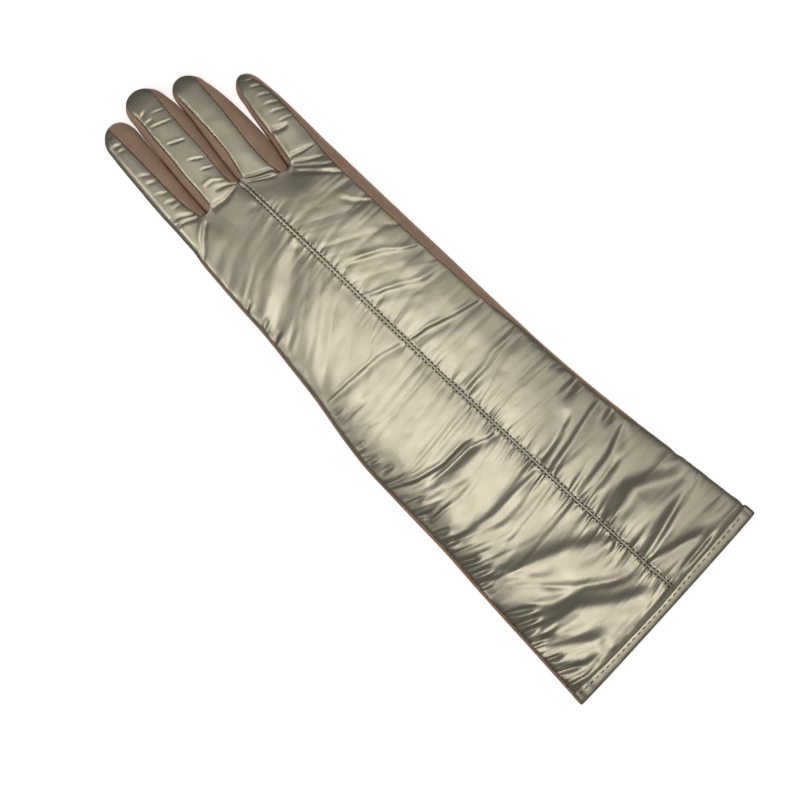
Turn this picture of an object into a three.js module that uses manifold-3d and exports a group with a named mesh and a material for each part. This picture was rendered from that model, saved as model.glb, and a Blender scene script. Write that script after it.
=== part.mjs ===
// Long padded dress glove for the right hand, lying flat with its back up.
// Millimetres. +X points to the little finger, +Y to the fingertips and +Z up from the
// surface it lies on. Heights along Y in the tables are counted from the cuff's edge.
import * as THREE from 'three';
import { mergeVertices } from 'three/addons/utils/BufferGeometryUtils.js';
import Module from 'manifold-3d';

const wasm = await Module();
wasm.setup();

// Thickness of the walls: padded cloth on the back, soft suede elsewhere
const BACK_WALL = 2.4;
const PALM_WALL = 1.4;
const SIDE_WALL = 1.5;
const CROTCH_WALL = 2;
const THUMB_WALL = 1.1;
const TIP_WALL = 2.4;

// Clearances: between sewn pieces, and between the side walls of two fingers
const SEAM_GAP = 0.3;
const FOLD_GAP = 0.8;

// Form of a cross-section: how square the crown and the underside are,
// how high up the widest place sits, and how much of the underside is pressed flat
const CROWN_POWER = 2.3;
const THUMB_CROWN_POWER = 4;
const UNDERSIDE_POWER = 4;
const WIDEST_AT = 0.45;
const PRESSED_FLAT = 1.06;
const SEAM_BELOW_WIDEST = 1;

// Fineness of the lofts
const BODY_POINTS = 28;
const FINGER_POINTS = 12;
const STATION_STEP = 17;
const TIP_STEPS = [0.5, 0.85, 1];
const TIP_END_SIZE = 0.22;

// Reach of the cutting solids past the glove
const PAST = 12;
const FULL_HEIGHT = 40;
const FULL_SIDE = 95;

// Arm, hand and the stretch under the first three fingers.
// Past the little finger's crotch the right edge steps in to the ring finger.
const CUFF_START = -6;
const LITTLE_CROTCH = 361.2;
const BODY_END = 379;
const BODY = table(['y', 'left', 'right', 'top'], [
  [CUFF_START, -81.6, 81.4, 18],
  [10, -80.6, 80.6, 19],
  [50, -77, 77, 22],
  [100, -72.7, 71.5, 25],
  [150, -68.7, 68, 25],
  [200, -65.6, 67.2, 24],
  [225, -61.2, 67.2, 24],
  [250, -55.6, 67.5, 24.5],
  [275, -51.9, 67.5, 25],
  [300, -48, 67.5, 25],
  [325, -46, 67.7, 23.5],
  [350, -43.5, 68, 21.5],
  [LITTLE_CROTCH, -41.8, 68.3, 20],
  [LITTLE_CROTCH + 0.6, -41.7, 38.6, 20],
  [BODY_END, -39.5, 43, 18.8],
]);

// Fingers: edges along their length, crown height at the root and near the tip, and the tip
const FINGER_ROOT = 350;
const FINGERS = {
  index: {
    tip: { x: -19, y: 461 },
    rows: table(['y', 'left', 'right', 'top'], [
      [FINGER_ROOT, -43.5, -17, 19.2],
      [380, -39.4, -16.3, 19.2],
      [400, -38, -14.3, 19],
      [437, -33.3, -9.8, 18.4],
      [450, -31, -8.2, 17.4],
    ]),
  },
  middle: {
    tip: { x: 5, y: 465.2 },
    rows: table(['y', 'left', 'right', 'top'], [
      [FINGER_ROOT, -17, 13, 19.6],
      [380, -16.7, 11.8, 19.6],
      [400, -14.7, 14.9, 19.4],
      [430, -11, 20.2, 18.8],
      [450, -7.7, 19.4, 17.6],
    ]),
  },
  ring: {
    tip: { x: 31.5, y: 450.5 },
    rows: table(['y', 'left', 'right', 'top'], [
      [FINGER_ROOT, 12, 38, 19.4],
      [380, 11.3, 43.5, 19.2],
      [400, 14.5, 44.9, 19],
      [417, 17.3, 45, 18.6],
      [437, 20.2, 42.9, 17.4],
    ]),
  },
  little: {
    tip: { x: 59.4, y: 423.7 },
    rows: table(['y', 'left', 'right', 'top'], [
      [FINGER_ROOT - 8, 39, 68, 18.6],
      [364, 39.2, 68.4, 18.2],
      [382, 43.5, 68.7, 18],
      [394, 45.4, 68.8, 17.8],
      [411, 49.5, 67.8, 17],
    ]),
  },
};

// Folds where the side walls of neighbouring fingers touch, from the crotch to where they part
const FOLDS = {
  index_middle: [
    [-16.9, 379.6], [-15.6, 390], [-14.4, 402], [-12.5, 417], [-10, 437], [-8, 450], [-5, 474],
  ],
  middle_ring: [
    [11.5, 378], [11.9, 385], [13.7, 395], [16.2, 407], [18.1, 420], [20, 430], [20.8, 442], [22, 456],
  ],
  ring_little: [[37.6, 362], [39.4, 364], [41.9, 374], [43.7, 382], [45.6, 394], [47.6, 404], [50, 418]],
};

// Zones of the suede side walls seen from above: up one seam, over the tip, down the other
const FOURCHETTES = {
  index_middle: [
    [-12.2, 378.6], [-16, 377.3], [-19.6, 379], [-22.3, 392], [-22.3, 405], [-21.2, 430], [-20.2, 450],
    [-19.4, 466], [-9, 466], [-6.4, 460], [-3.1, 457.5], [-3.5, 450], [-5.6, 435], [-7.5, 417],
    [-9.4, 405], [-10.6, 390],
  ],
  middle_ring: [
    [14.2, 377.4], [11.5, 376], [8.6, 377.4], [8.1, 387.5], [9.4, 399], [11.2, 411], [11.9, 424],
    [13.1, 436], [15, 449], [17, 460], [25, 456], [24.6, 449], [23.5, 444], [22.7, 432],
    [21.9, 415], [20.6, 402], [19.2, 394], [16.6, 386],
  ],
  ring_little: [
    [41.2, 361.4], [37.5, 359.6], [33.8, 361.4], [32.5, 371], [32.7, 382], [33.7, 392], [35.6, 405],
    [37.5, 417], [39, 430], [40.4, 440], [41.5, 452], [54, 452], [52.2, 416.5], [54.2, 412],
    [51.4, 404], [49.4, 394], [47.4, 382], [45.4, 372],
  ],
};

// Suede strip that wraps up over the little finger's edge, bounded by its seam
const EDGE_STRIP = [
  [60.5, 440], [61.5, 425], [63.6, 420], [66.6, 407], [66.9, 400], [66.2, 386], [64.8, 377], [63.7, 367],
  [62.5, 360], [61.2, 349], [60.6, 335], [60.6, 277], [61.2, 252], [61.9, 220], [63, 209],
  [65.2, 196], [70, 186], [FULL_SIDE, 186], [FULL_SIDE, 440],
];

// Hem: the cuff's edge and the seam above it, both a little slanted
const HEM_EDGE = { left: -2.2, right: 1.2 };
const HEM_SEAM = [
  [-FULL_SIDE, 8.2], [-75, 8], [-50, 6.5], [0, 6.4], [25, 8], [78, 10], [FULL_SIDE, 10.2],
];

// Main folds and hollows of the padded back: three points, half width and depth
const CREASES = table(['x0', 'y0', 'x1', 'y1', 'x2', 'y2', 'width', 'depth'], [
  [-72, 98, -30, 87, 7, 60, 9, 3],
  [-75, 50, -37, 47, 5, 17, 8, 2.6],
  [12, 76, 37, 72, 69, 54, 9, 3],
  [11, 122, 30, 126, 50, 134, 9, 2],
  [-62, 176, -30, 164, 7, 156, 8, 2],
  [-62, 129, -30, 122, 7, 120, 8, 1.6],
  [11, 36, 37, 40, 76, 46, 8, 2],
  [-49, 245, -22, 242, 7, 236, 8, 2],
  [12, 232, 40, 224, 61, 219, 8, 2],
  [-46, 259, -30, 270, 0, 296, 8, 2],
  [-45, 296, -15, 311, 7, 326, 9, 3],
  [46, 329, 50, 320, 60, 309, 8, 1.6],
  [41, 361, 48, 354, 60, 347, 7, 1.4],
]);

// Thumb: folded flat under the palm, pointing across it. Its opening joins the palm's.
const THUMB = {
  base: { x: -29, y: 271 },
  tip: { x: 19, y: 317 },
  halfWidth: 12.5,
  tipHalfWidth: 10.5,
  height: 6.9,
  baseRound: 13,
  tipRound: 12,
  openingAlong: 11,
  openingAcross: 9,
  openingPoints: 20,
};
const THUMB_RISE = THUMB.height + SEAM_GAP;
const RISE_FLAT_REACH = 11;
const RISE_SLOPE_REACH = 18;

// Materials
const metallicCloth = new THREE.MeshStandardMaterial({ color: 0xb5ae98, roughness: 0.42, metalness: 0.55 });
const suede = new THREE.MeshStandardMaterial({ color: 0x83695a, roughness: 0.95, metalness: 0 });

/** Turns rows of numbers into objects with the given column names. */
function table(columns, rows) {
  return rows.map((row) => Object.fromEntries(columns.map((name, i) => [name, row[i]])));
}

/** Reads one column of a table at y, straight between rows. */
function readAt(rows, column, y) {
  if (y <= rows[0].y) return rows[0][column];
  for (let i = 1; i < rows.length; i += 1) {
    if (y <= rows[i].y) {
      const share = (y - rows[i - 1].y) / (rows[i].y - rows[i - 1].y);
      return THREE.MathUtils.lerp(rows[i - 1][column], rows[i][column], share);
    }
  }
  return rows[rows.length - 1][column];
}

/** Distance from a point to the straight stretch between two others. */
function distanceToStretch(x, y, x0, y0, x1, y1) {
  const dx = x1 - x0;
  const dy = y1 - y0;
  const share = THREE.MathUtils.clamp(((x - x0) * dx + (y - y0) * dy) / (dx * dx + dy * dy), 0, 1);
  return Math.hypot(x - x0 - dx * share, y - y0 - dy * share);
}

/** How far the back sinks at a place: the deepest crease that reaches it. */
function creaseDepth(x, y) {
  let depth = 0;
  for (const c of CREASES) {
    const near = Math.min(
      distanceToStretch(x, y, c.x0, c.y0, c.x1, c.y1),
      distanceToStretch(x, y, c.x1, c.y1, c.x2, c.y2),
    );
    depth = Math.max(depth, c.depth * Math.exp(-((near / c.width) ** 2)));
  }
  return depth;
}

/** How far the palm is lifted at a place by the thumb folded under it. */
function thumbRise(x, y) {
  const { base, tip } = THUMB;
  const away = distanceToStretch(x, y, base.x, base.y, tip.x, tip.y) - THUMB.halfWidth - RISE_FLAT_REACH;
  return THUMB_RISE * (1 - THREE.MathUtils.smoothstep(away, 0, RISE_SLOPE_REACH));
}

/** Lofts a closed solid through rings that run from +X over +Z, set one after another along +Y. */
function loft(rings) {
  const count = rings[0].length;
  const points = rings.flat();
  const faces = [];
  for (let k = 0; k < rings.length - 1; k += 1) {
    for (let i = 0; i < count; i += 1) {
      const a = k * count + i;
      const b = k * count + ((i + 1) % count);
      faces.push(a, a + count, b, b, a + count, b + count);
    }
  }
  const last = (rings.length - 1) * count;
  for (let i = 1; i < count - 1; i += 1) {
    faces.push(0, i, i + 1);
    faces.push(last, last + i + 1, last + i);
  }
  const geometry = new THREE.BufferGeometry().setFromPoints(points);
  geometry.setIndex(faces);
  return geometry;
}

/** A cross-section at y: crowned above its widest place, pressed flat below. */
function section({ y, left, right, top, bottom, count, sink, lift, size = 1, crown = CROWN_POWER }) {
  const middle = (left + right) / 2;
  const half = (right - left) / 2;
  const widest = top * WIDEST_AT;
  const ring = [];
  for (let i = 0; i < count; i += 1) {
    const angle = (2 * Math.PI * i) / count;
    const across = Math.cos(angle);
    const x = middle + half * size * across;
    if (i <= count / 2) {
      const rise = (1 - Math.abs(across) ** crown) ** (1 / crown);
      ring.push(new THREE.Vector3(x, y, widest + (top - widest) * size * rise - sink(x, y) * rise));
    } else {
      const drop = (1 - Math.abs(across) ** UNDERSIDE_POWER) ** (1 / UNDERSIDE_POWER);
      const floor = bottom + lift(x, y);
      const pressed = Math.min(drop * PRESSED_FLAT, 1);
      ring.push(new THREE.Vector3(x, y, widest - (widest - floor) * size * pressed));
    }
  }
  return ring;
}

const flat = () => 0;

/** The arm and hand, drawn in by the given walls. */
function bodySolid({ side, back, palm, end }) {
  const stations = [];
  for (let i = 0; i < BODY.length - 1; i += 1) {
    const [from, to] = [BODY[i].y, BODY[i + 1].y];
    const steps = Math.max(1, Math.round((to - from) / STATION_STEP));
    for (let s = 0; s < steps; s += 1) stations.push(THREE.MathUtils.lerp(from, to, s / steps));
  }
  stations.push(BODY_END);
  const rings = stations.map((station) => section({
    y: station === CUFF_START ? station : station - end,
    left: readAt(BODY, 'left', station) + side,
    right: readAt(BODY, 'right', station) - side,
    top: readAt(BODY, 'top', station) - back,
    bottom: palm,
    count: BODY_POINTS,
    sink: creaseDepth,
    lift: thumbRise,
  }));
  return solidOf(loft(rings));
}

/** One finger with its rounded tip, drawn in by the given walls. */
function fingerSolid({ rows, tip }, { side, back, palm, end }) {
  const last = rows[rows.length - 1];
  const shared = { count: FINGER_POINTS, sink: flat, lift: flat, bottom: palm };
  const rings = rows.map((row, i) => section({
    ...shared,
    y: i === 0 ? row.y + end : row.y,
    left: row.left + side,
    right: row.right - side,
    top: row.top - back,
  }));
  const reach = tip.y - end - last.y;
  for (const step of TIP_STEPS) {
    const size = Math.max(Math.sqrt(1 - step * step), TIP_END_SIZE);
    const shift = (tip.x - (last.left + last.right) / 2) * step;
    rings.push(section({
      ...shared,
      y: last.y + reach * step,
      left: last.left + side + shift,
      right: last.right - side + shift,
      top: last.top - back,
      size,
    }));
  }
  return solidOf(loft(rings));
}

/** The folded thumb along its own axis, drawn in by a wall on every side. */
function thumbSolid(wall) {
  const { base, tip } = THUMB;
  const length = Math.hypot(tip.x - base.x, tip.y - base.y);
  const across = new THREE.Vector2(tip.x - base.x, tip.y - base.y);
  const stations = [];
  for (const step of [...TIP_STEPS].reverse()) stations.push({ y: -(THUMB.baseRound - wall) * step, step });
  for (const share of [0, 0.33, 0.67, 1]) stations.push({ y: length * share, step: 0 });
  for (const step of TIP_STEPS) stations.push({ y: length + (THUMB.tipRound - wall) * step, step });
  const rings = stations.map(({ y, step }) => {
    const share = THREE.MathUtils.clamp(y / length, 0, 1);
    const half = THREE.MathUtils.lerp(THUMB.halfWidth, THUMB.tipHalfWidth, share) - wall;
    return section({
      y,
      left: -half,
      right: half,
      top: THUMB.height - wall,
      bottom: wall,
      count: FINGER_POINTS,
      sink: flat,
      lift: flat,
      crown: THUMB_CROWN_POWER,
      size: Math.max(Math.sqrt(1 - step * step), TIP_END_SIZE),
    });
  });
  const geometry = loft(rings);
  geometry.rotateZ(across.angle() - Math.PI / 2);
  geometry.translate(base.x, base.y, 0);
  return solidOf(geometry);
}

/** A straight-walled block over an outline in plan. */
function plate(outline, low, high) {
  const shape = new THREE.Shape(outline.map(([x, y]) => new THREE.Vector2(x, y)));
  const geometry = new THREE.ExtrudeGeometry(shape, { depth: high - low, bevelEnabled: false });
  geometry.translate(0, 0, low);
  return solidOf(geometry);
}

/** A point of a line moved sideways, square to the line from the point before to the one after. */
function movedAside([x, y], before, after, distance) {
  const side = new THREE.Vector2(before[1] - after[1], after[0] - before[0]).setLength(distance);
  return [x + side.x, y + side.y];
}

/** A thin upright cut along an open line in plan. */
function slot(line, width) {
  const side = (distance) => line.map((point, i) => (
    movedAside(point, line[Math.max(i - 1, 0)], line[Math.min(i + 1, line.length - 1)], distance)
  ));
  return plate([...side(width / 2), ...side(-width / 2).reverse()], -PAST, FULL_HEIGHT);
}

/** A thin upright cut around a closed outline in plan: the outline grown, less the outline shrunk. */
function slotAround(outline, width) {
  const count = outline.length;
  const side = (distance) => outline.map((point, i) => (
    movedAside(point, outline[(i + count - 1) % count], outline[(i + 1) % count], distance)
  ));
  const [small, large] = [side(width / 2), side(-width / 2)]
    .map((line) => plate(line, -PAST, FULL_HEIGHT))
    .sort((a, b) => a.volume() - b.volume());
  return large.subtract(small);
}

/** Height of the side seam along the glove, just below the widest place. */
function sideSeamHeight(y) {
  const rows = y <= BODY_END ? BODY : FINGERS.middle.rows;
  return readAt(rows, 'top', y) * WIDEST_AT - SEAM_BELOW_WIDEST;
}

/** Everything between two heights that follow the side seam, across the whole width. */
function besideSeam(lower, upper) {
  const onFingers = FINGERS.middle.rows.map((row) => row.y).filter((y) => y > BODY_END);
  const ys = [CUFF_START - PAST, ...BODY.map((row) => row.y), ...onFingers, FINGERS.middle.tip.y + PAST];
  const line = ys.map((y) => [y, sideSeamHeight(y)]);
  const outline = [...line.map(([y, z]) => [y, upper(z)]), ...line.reverse().map(([y, z]) => [y, lower(z)])];
  const shape = new THREE.Shape(outline.map(([y, z]) => new THREE.Vector2(y, z)));
  const geometry = new THREE.ExtrudeGeometry(shape, { depth: 2 * FULL_SIDE, bevelEnabled: false });
  geometry.applyMatrix4(new THREE.Matrix4().makeBasis(
    new THREE.Vector3(0, 1, 0),
    new THREE.Vector3(0, 0, 1),
    new THREE.Vector3(1, 0, 0),
  ));
  geometry.translate(-FULL_SIDE, 0, 0);
  return solidOf(geometry);
}

/** A closed geometry as a solid for joining and cutting. */
function solidOf(geometry) {
  const bare = geometry.clone();
  bare.deleteAttribute('normal');
  bare.deleteAttribute('uv');
  const merged = mergeVertices(bare, 1e-4);
  return new wasm.Manifold(new wasm.Mesh({
    numProp: 3,
    vertProperties: new Float32Array(merged.attributes.position.array),
    triVerts: new Uint32Array(merged.index.array),
  }));
}

/** A solid as a named mesh. */
function meshOf(name, solid, material) {
  const data = solid.getMesh();
  const geometry = new THREE.BufferGeometry();
  geometry.setAttribute('position', new THREE.BufferAttribute(new Float32Array(data.vertProperties), 3));
  geometry.setIndex(new THREE.BufferAttribute(new Uint32Array(data.triVerts), 1));
  geometry.computeVertexNormals();
  const mesh = new THREE.Mesh(geometry, material.clone());
  mesh.name = name;
  return mesh;
}

/** All solids of a list joined. */
function joined(solids) {
  return solids.reduce((sum, solid) => sum.add(solid));
}

/** Arm, hand and fingers as one solid, drawn in by the given walls. */
function gloveForm(walls, fingerWalls) {
  const fingers = Object.values(FINGERS).map((finger) => fingerSolid(finger, fingerWalls));
  return joined([bodySolid(walls), ...fingers]);
}

/** The oval opening between palm and thumb, between two heights. */
function thumbOpening(low, high) {
  const { base, tip } = THUMB;
  const turn = Math.atan2(tip.y - base.y, tip.x - base.x);
  const oval = new THREE.EllipseCurve(
    base.x, base.y, THUMB.openingAlong, THUMB.openingAcross, 0, 2 * Math.PI, false, turn,
  );
  const outline = oval.getPoints(THUMB.openingPoints).slice(0, -1).map((p) => [p.x, p.y]);
  return plate(outline, low, high);
}

// Shell of the whole glove, open at the cuff, with its fingers cut apart
const outerForm = gloveForm(
  { side: 0, back: 0, palm: 0, end: 0 },
  { side: 0, back: 0, palm: 0, end: 0 },
);
const innerForm = gloveForm(
  { side: CROTCH_WALL, back: BACK_WALL, palm: PALM_WALL, end: CROTCH_WALL },
  { side: SIDE_WALL + FOLD_GAP / 2, back: BACK_WALL, palm: PALM_WALL, end: TIP_WALL },
);
const openAtCuff = plate([
  [-FULL_SIDE, CUFF_START - PAST],
  [FULL_SIDE, CUFF_START - PAST],
  [FULL_SIDE, HEM_EDGE.right],
  [-FULL_SIDE, HEM_EDGE.left],
], -PAST, FULL_HEIGHT);
const folds = joined(Object.values(FOLDS).map((line) => slot(line, FOLD_GAP)));
const palmOpening = thumbOpening(-PAST, THUMB_RISE + PALM_WALL + 1);
const shell = outerForm.subtract(innerForm).subtract(openAtCuff).subtract(folds).subtract(palmOpening);

// Zones of the sewn pieces, and the narrow gaps along the seams between them
const edgeStrip = plate(EDGE_STRIP, -PAST, FULL_HEIGHT);
const seamAbove = (z) => z + SEAM_GAP / 2;
const seamBelow = (z) => z - SEAM_GAP / 2;
const belowSeam = besideSeam(() => -PAST, (z) => z);
const sideSeam = besideSeam(seamBelow, seamAbove).subtract(edgeStrip);
const palmZone = belowSeam.add(edgeStrip);
const hemZone = plate([...HEM_SEAM, [FULL_SIDE, -PAST], [-FULL_SIDE, -PAST]], -PAST, FULL_HEIGHT);
const hemSeam = slot(HEM_SEAM, SEAM_GAP);
const edgeSeam = slotAround(EDGE_STRIP, SEAM_GAP).subtract(belowSeam);
const fourchetteZones = Object.fromEntries(
  Object.entries(FOURCHETTES).map(([name, outline]) => [name, plate(outline, -PAST, FULL_HEIGHT)]),
);
const fourchetteSeams = joined(Object.values(FOURCHETTES).map((line) => slotAround(line, SEAM_GAP)))
  .subtract(belowSeam)
  .subtract(edgeStrip);

const cutShell = shell.subtract(sideSeam).subtract(hemSeam).subtract(edgeSeam).subtract(fourchetteSeams);
const sleeve = cutShell.subtract(hemZone);
const hem = cutShell.intersect(hemZone);
const upperSleeve = sleeve.subtract(palmZone);
const allFourchettes = joined(Object.values(fourchetteZones));

const thumb = thumbSolid(0)
  .subtract(thumbSolid(THUMB_WALL))
  .subtract(thumbOpening(THUMB.height / 2, FULL_HEIGHT));

// The sewn pieces
const glove = new THREE.Group();
glove.add(meshOf('back_panel', upperSleeve.subtract(allFourchettes), metallicCloth));
glove.add(meshOf('palm_panel', sleeve.intersect(palmZone), suede));
for (const [name, zone] of Object.entries(fourchetteZones)) {
  glove.add(meshOf(`fourchette_${name}`, upperSleeve.intersect(zone), suede));
}
glove.add(meshOf('thumb', thumb, suede));
glove.add(meshOf('cuff_hem_back', hem.subtract(belowSeam), metallicCloth));
glove.add(meshOf('cuff_hem_palm', hem.intersect(belowSeam), suede));

// The origin is under the middle of the glove, on the surface it lies on
const extent = new THREE.Box3().setFromObject(glove);
const centre = extent.getCenter(new THREE.Vector3());
glove.position.set(-centre.x, -centre.y, -extent.min.z);

export default glove;
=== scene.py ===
"""Looks of a long padded dress glove for the right hand, lying flat with its back up.

Lengths in the tables are millimetres of the glove: x runs to the little finger, y from the
cuff's edge to the fingertips and z up. Everything that goes into Blender is in metres.
"""

import logging
import math
from dataclasses import dataclass, field
from enum import Enum
from typing import Any

import bmesh
import bpy
import numpy as np
from mathutils import Matrix, Vector
from mathutils.bvhtree import BVHTree

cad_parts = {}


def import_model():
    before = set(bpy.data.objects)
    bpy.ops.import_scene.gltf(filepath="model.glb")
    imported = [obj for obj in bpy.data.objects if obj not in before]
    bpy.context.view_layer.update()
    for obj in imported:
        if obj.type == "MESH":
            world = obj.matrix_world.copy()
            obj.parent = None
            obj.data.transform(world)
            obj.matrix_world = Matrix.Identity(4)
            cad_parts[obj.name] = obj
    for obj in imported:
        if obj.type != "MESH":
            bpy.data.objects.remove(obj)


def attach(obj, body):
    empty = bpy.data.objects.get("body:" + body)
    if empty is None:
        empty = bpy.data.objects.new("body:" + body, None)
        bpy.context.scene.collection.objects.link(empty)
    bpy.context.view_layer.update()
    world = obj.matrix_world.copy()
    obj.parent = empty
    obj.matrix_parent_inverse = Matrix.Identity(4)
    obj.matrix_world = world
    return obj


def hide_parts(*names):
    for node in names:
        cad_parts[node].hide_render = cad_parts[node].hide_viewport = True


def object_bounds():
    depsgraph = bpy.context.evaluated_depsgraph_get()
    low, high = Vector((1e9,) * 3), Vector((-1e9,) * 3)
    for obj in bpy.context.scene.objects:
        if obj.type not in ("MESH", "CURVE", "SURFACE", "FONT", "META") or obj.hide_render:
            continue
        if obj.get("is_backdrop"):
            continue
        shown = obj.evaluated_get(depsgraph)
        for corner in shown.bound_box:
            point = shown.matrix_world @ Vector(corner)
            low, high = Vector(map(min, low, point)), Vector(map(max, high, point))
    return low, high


log = logging.getLogger("glove")

Array = np.ndarray

# Metres in a millimetre
MM = 0.001

# Where the glove's tables meet the frame: the middle fingertip and the hem's right corner
TIP_Y = 465.2
HEM_RIGHT_X = 81.05

# Cross-section of the arm and hand: places along y, and how square the crown is at each.
# A crown of power 2 is half an ellipse, and a higher power is flatter with fuller shoulders.
CROWN_AT = (90.0, 190.0, 330.0)
CROWN_POWERS = (2.15, 3.3, 5.5)
FINGER_CROWN = (4.0, 4.0, 4.0)

# How a finger's height falls over its tip: the power of the tip's size, where 1 falls as the width does
TIP_FLATNESS = 0.42

# Height of the widest place, as a share of the whole height
WIDEST_AT = 0.45

# Width of the round lower corners, and the most of the half width that they take
CORNER_REACH = 16.0
CORNER_MOST = 0.75

# How far under the widest place a seam at the edge lies, as an angle in radians
SEAM_UNDER = 0.22

# Where the right seam climbs from under the edge onto the crown, as y
SEAM_CLIMB = (78.0, 104.0)

# Where the strip of suede outside the left seam narrows, as y
MARGIN_TURN = (150.0, 190.0)


class Finger(Enum):
    """The four fingers of the back, from the thumb's side."""

    INDEX = "index"
    MIDDLE = "middle"
    RING = "ring"
    LITTLE = "little"


BODY_ROWS = np.array([
    # y, left, right, top
    [-6, -81.9, 81.4, 18.0],
    [10, -80.6, 80.6, 19.0],
    [50, -77.0, 77.0, 22.0],
    [75, -75.0, 74.4, 23.6],
    [100, -72.7, 71.5, 24.6],
    [125, -70.0, 69.4, 24.6],
    [150, -68.7, 68.0, 24.4],
    [175, -67.2, 67.2, 24.0],
    [200, -65.6, 67.2, 23.6],
    [225, -61.2, 67.2, 23.8],
    [250, -55.6, 67.5, 24.2],
    [275, -51.9, 67.5, 24.6],
    [300, -48.0, 67.5, 24.6],
    [325, -46.0, 67.7, 23.2],
    [350, -43.5, 68.0, 21.2],
    [370, -40.8, 68.4, 19.8],
    [400, -38.0, 68.6, 19.2],
])

FINGER_ROWS = {
    # y, left, right, top
    Finger.INDEX: np.array([
        [340, -44.4, -17.2, 19.6],
        [360, -42.0, -17.0, 19.4],
        [380, -39.4, -16.6, 19.2],
        [400, -38.0, -14.7, 19.0],
        [425, -35.0, -11.6, 18.6],
        [440, -33.0, -9.7, 18.2],
        [448, -31.6, -8.6, 17.8],
    ]),
    Finger.MIDDLE: np.array([
        [340, -17.0, 13.0, 19.8],
        [380, -16.4, 11.6, 19.6],
        [390, -15.6, 13.0, 19.6],
        [400, -14.6, 14.7, 19.4],
        [417, -12.4, 17.8, 19.2],
        [430, -10.6, 20.0, 18.8],
        [442, -9.0, 20.6, 18.4],
        [450, -7.5, 19.6, 17.8],
    ]),
    Finger.RING: np.array([
        [340, 12.0, 38.0, 19.6],
        [364, 11.8, 39.3, 19.4],
        [380, 11.7, 43.2, 19.2],
        [390, 13.1, 44.4, 19.2],
        [400, 14.8, 45.0, 19.0],
        [417, 17.8, 45.2, 18.6],
        [430, 20.2, 44.4, 18.0],
        [437, 20.7, 43.2, 17.6],
    ]),
    Finger.LITTLE: np.array([
        [330, 38.6, 67.8, 18.8],
        [364, 39.6, 68.4, 18.4],
        [374, 42.0, 68.6, 18.2],
        [382, 43.8, 68.7, 18.0],
        [394, 45.7, 68.8, 17.8],
        [404, 47.6, 68.6, 17.4],
        [410, 49.2, 68.0, 17.0],
    ]),
}

FINGER_TIPS = {
    # x, y
    Finger.INDEX: (-19.0, 461.0),
    Finger.MIDDLE: (5.0, 465.2),
    Finger.RING: (31.0, 450.5),
    Finger.LITTLE: (59.4, 423.7),
}

# Seams between the metallic back and the suede, seen from above: rows of y and x
SEAMS = {
    "index_right": np.array([
        [340, -20.0], [380.6, -20.0], [386, -21.6], [392, -22.5], [405, -22.5], [430, -21.2], [450, -20.2],
        [459, -20.0],
    ]),
    "middle_left": np.array([
        [340, -12.0], [381, -12.0], [390, -10.6], [405, -9.4], [417, -7.5], [435, -5.6], [450, -3.5],
        [457.5, -3.1],
    ]),
    "middle_right": np.array([
        [340, 8.7], [381, 8.7], [387.5, 8.1], [399, 9.4], [411, 11.2], [424, 11.9], [436, 13.1], [449, 15.0],
        [457, 15.6],
    ]),
    "ring_left": np.array([
        [340, 14.4], [379, 14.4], [386, 16.9], [395, 19.4], [402, 20.6], [415, 21.9], [432, 22.7],
        [444, 23.5],
    ]),
    "ring_right": np.array([
        [330, 33.7], [363, 33.7], [371, 32.2], [382, 32.5], [392, 33.5], [405, 35.6], [417, 37.5],
        [430, 39.0], [442, 40.6],
    ]),
    "little_left": np.array([
        [330, 42.2], [364, 42.2], [374, 44.2], [382, 46.2], [395, 47.8], [405, 49.8], [414, 53.0],
    ]),
    "edge": np.array([
        [80, 74.0], [90, 72.6], [100, 70.6], [125, 68.4], [150, 67.0], [176, 66.6], [190, 66.0], [196, 65.0],
        [209, 63.2], [220, 62.2], [252, 61.2], [277, 60.6], [335, 60.6],
        [349, 61.2], [360, 62.5], [367, 63.7], [377, 65.0], [386, 66.3], [402, 67.2], [407, 66.9],
        [414, 65.4], [421, 63.0],
    ]),
}

# The row where the back ends between the fingers: x and y across the hand
CROTCH_ROW = np.array([
    [-41.0, 379.0], [-20.0, 380.6], [-16.3, 378.2], [-12.0, 381.0], [8.7, 381.0], [11.5, 377.0],
    [14.4, 379.0], [33.7, 363.0], [37.7, 360.4], [42.2, 363.6], [62.8, 361.5],
])

# Columns of a panel, from the left seam to the right one, with where each strip ends at the hem
STRIPS = [
    # columns, x at the hem where the strip ends
    (9, -52.0),
    (3, -44.0),
    (15, 8.2),
    (6, 13.6),
    (10, 40.0),
    (3, 48.0),
    (9, None),
]

# Plan places of the fingers' seams at the crotch row
CROTCH_SEAMS = (-20.0, -12.0, 8.7, 14.4, 33.7, 42.2)

# Thumb: folded flat under the palm, pointing across it
THUMB_BASE = (-29.0, 271.0)
THUMB_TIP = (19.0, 317.0)
THUMB_HALF = (12.5, 10.5)
THUMB_ENDS = (13.0, 12.0)
THUMB_HEIGHT = 6.9
THUMB_OVAL = (11.0, 9.0)
THUMB_RISE = 7.2
RISE_FLAT = 11.0
RISE_SLOPE = 18.0

HEM_SEAM = np.array([[-95, 8.2], [-75, 8.0], [-50, 6.5], [0, 6.3], [25, 8.0], [78, 10.0], [95, 10.2]])
HEM_EDGE = np.array([[-95, -2.2], [95, 1.2]])

# Middle line of the double row of stitches down the back: y and x
CENTRE_SEAM = np.array([
    [0, 11.6], [10, 11.5], [50, 10.6], [100, 9.9], [150, 10.2], [200, 9.9], [250, 10.5], [300, 11.5],
    [330, 11.9], [370, 12.3], [380, 11.9],
])
CENTRE_HALF_GAP = 1.2


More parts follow.
